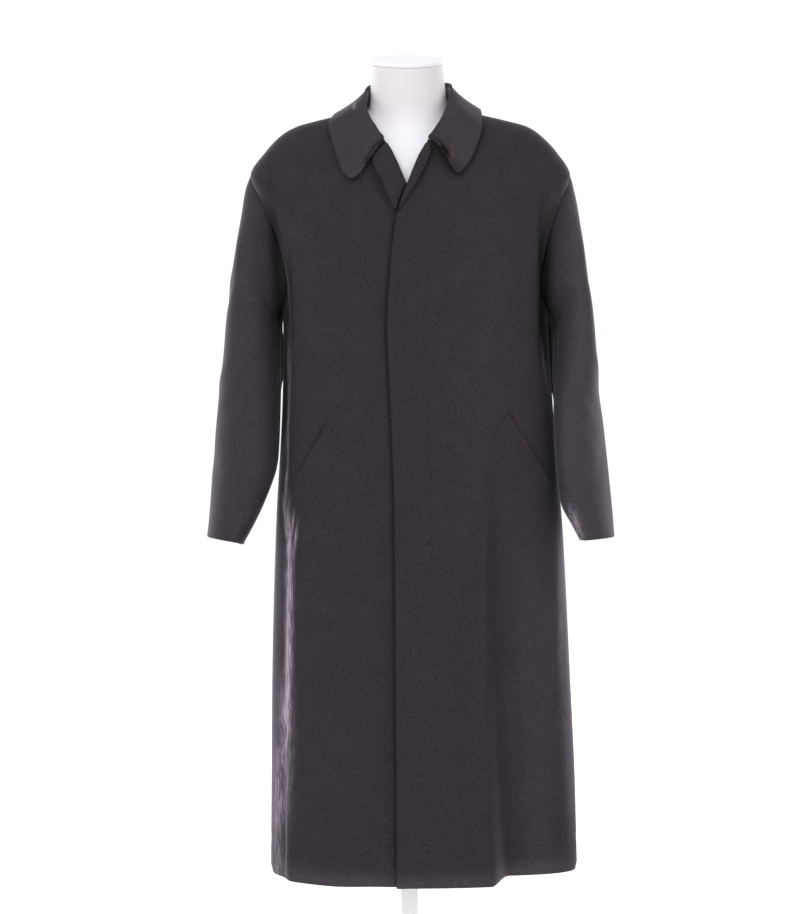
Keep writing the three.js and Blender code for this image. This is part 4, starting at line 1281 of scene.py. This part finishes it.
def form_material(name, neck_colour):
    """White stretched cloth, turning to the given neck colour above the collar."""
    shader = Shader(name)
    soft = shader.remap(shader.noise(shader.place, 9, 3.0), 0.3, 0.7)
    colour = shader.mix(soft, (0.76, 0.735, 0.78, 1), (0.8, 0.78, 0.83, 1))
    height = shader.node("SeparateXYZ", {"Vector": shader.place}, "Z")
    colour = shader.mix(shader.remap(height, 1.36, 1.42), colour, neck_colour)
    shader.surface({"Base Color": colour, "Roughness": 0.6, "Specular IOR Level": 0.2})
    shader.bump(shader.noise(shader.place, 420), 0.15, 0.0004)
    return shader.material


def stand_material():
    """White paint."""
    shader = Shader("white_paint")
    soft = shader.remap(shader.noise(shader.place, 14, 4.0), 0.35, 0.65)
    colour = shader.mix(soft, (0.95, 0.95, 0.955, 1), (0.97, 0.97, 0.97, 1))
    shader.surface({"Base Color": colour, "Roughness": 0.35})
    shader.bump(shader.noise(shader.place, 300), 0.1, 0.0005)
    return shader.material


def paint(obj, material):
    obj.data.materials.clear()
    obj.data.materials.append(material)


# The coat

# The sleeves' lighter wool is painted light, strongest on the wearer's left; the collar's wool is lighter
# too.
TONES = {"collar": 1.42, "left": 1.72, "right": 1.34}
EDGE_SWELL = 2.0  # how much thicker the left front's folded edge is
LEFT_COLUMNS = 96
RIGHT_COLUMNS = 146
BACK_COLUMNS = 90


def build_coat():
    wool = wool_material("wool")
    collar_wool = wool_material("wool_collar", TONES["collar"])
    lit_sleeve_wool = {side: wool_material(f"wool_{side}_sleeve", TONES[side]) for side in ("left", "right")}
    fly_wool = wool_material("wool_fly", 1.0, fly_stitch)
    half_turn = np.full(len(BODY_LEVELS), 180.0)
    left_edge = edge_angles(closing_x)
    right_edge = edge_angles(under_x)
    panels = {
        "front_left": panel("left_front", 1, left_edge, 1, LEFT_COLUMNS, FRONT_CREASES, None, EDGE_SWELL),
        "front_right": panel("right_front", -1, right_edge, 1, RIGHT_COLUMNS, FRONT_CREASES, under_lift),
        "back_left": panel("left_back", 1, half_turn, -1, BACK_COLUMNS, BACK_CREASES),
        "back_right": panel("right_back", -1, -half_turn, -1, BACK_COLUMNS, BACK_CREASES),
    }
    for node, obj in panels.items():
        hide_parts(node)
        paint(obj, fly_wool if node == "front_left" else wool)
    sleeves = sleeve(1, LEFT_SLEEVE, "left", crease_rise=0)
    sleeves += sleeve(-1, RIGHT_SLEEVE, "right", crease_rise=14)
    for obj in sleeves:
        paint(obj, lit_sleeve_wool[obj.name.split("_")[0]])
    whole_collar = collar()
    paint(whole_collar, collar_wool)
    small = [
        lapel("right", right_lapel_fold, RIGHT_LAPEL, low=1239, high=1346, lift=under_lift),
        lapel("left", left_lapel_fold, LEFT_LAPEL, low=1233, high=1345, lift=left_lapel_lift),
        welt("left", 1),
        welt("right", -1),
    ]
    for obj in small:
        paint(obj, wool)
    return list(panels.values()) + sleeves + [whole_collar] + small


coat = build_coat()
torso = form_torso()
disc = neck_cap()
paint(torso, form_material("white_form", NECK_COLOUR))
paint(disc, form_material("white_disc", DISC_COLOUR))
white_paint = stand_material()
for node in ("base_plate", "pole"):
    stand_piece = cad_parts[node]
    stand_piece.data.materials.clear()
    stand_piece.data.materials.append(white_paint)
for obj in coat + [torso, disc]:
    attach(obj, "root")


# Stage, light and camera

FLOOR_REACH = 300
WORLD_LIGHT = 1.06
EYE = (-0.015, -3.0, 0.9776)
SENSOR_MM = 36
PHOTO_HEIGHT_PX = 914
FOCAL_LENGTH_PX = 1875
SHIFT_PX = -77  # how far the photo's middle lies below the camera's height


def stage_floor():
    """A pale floor."""
    mesh = bpy.data.meshes.new("floor")
    corners = [(x * FLOOR_REACH, y * FLOOR_REACH, 0) for x, y in ((-1, -1), (1, -1), (1, 1), (-1, 1))]
    mesh.from_pydata(corners, [], [(0, 1, 2, 3)])
    shader = Shader("pale_floor")
    shader.surface({"Base Color": (0.985, 0.985, 0.985, 1), "Roughness": 0.9})
    mesh.materials.append(shader.material)
    add_object("floor", mesh)


def area_light(name, place, size, power_w):
    """A soft lamp that shines on the middle of the coat."""
    data = bpy.data.lights.new(name, "AREA")
    data.shape = "RECTANGLE"
    data.size, data.size_y = size
    data.energy = power_w
    obj = add_object(name, data)
    obj.location = place
    direction = np.array([0, 0, 1]) - np.array(place)
    yaw = math.atan2(direction[0], -direction[1])
    pitch = math.atan2(np.hypot(direction[0], direction[1]), -direction[2])
    obj.rotation_euler = (pitch, 0, yaw + math.pi)
    obj.visible_camera = False


def light_and_camera():
    world = bpy.data.worlds.new("studio")
    bpy.context.scene.world = world
    world.use_nodes = True
    background = world.node_tree.nodes["Background"]
    background.inputs["Color"].default_value = (1, 1, 1, 1)
    background.inputs["Strength"].default_value = WORLD_LIGHT
    area_light("key", (-1.6, -3.2, 2.9), (2.2, 2.2), power_w=45)
    area_light("rim_left", (-2.2, 2.3, 1.4), (1.0, 2.6), power_w=50)
    area_light("rim_right", (2.2, 2.3, 1.4), (1.0, 2.6), power_w=40)
    data = bpy.data.cameras.new("camera")
    data.sensor_fit = "AUTO"
    data.sensor_width = SENSOR_MM
    data.lens = FOCAL_LENGTH_PX * SENSOR_MM / PHOTO_HEIGHT_PX
    data.shift_y = SHIFT_PX / PHOTO_HEIGHT_PX
    camera = add_object("camera", data)
    camera.location = EYE
    camera.rotation_euler = (math.radians(90), 0, 0)
    bpy.context.scene.camera = camera
    bpy.context.scene.view_settings.view_transform = "Standard"


stage_floor()
light_and_camera()
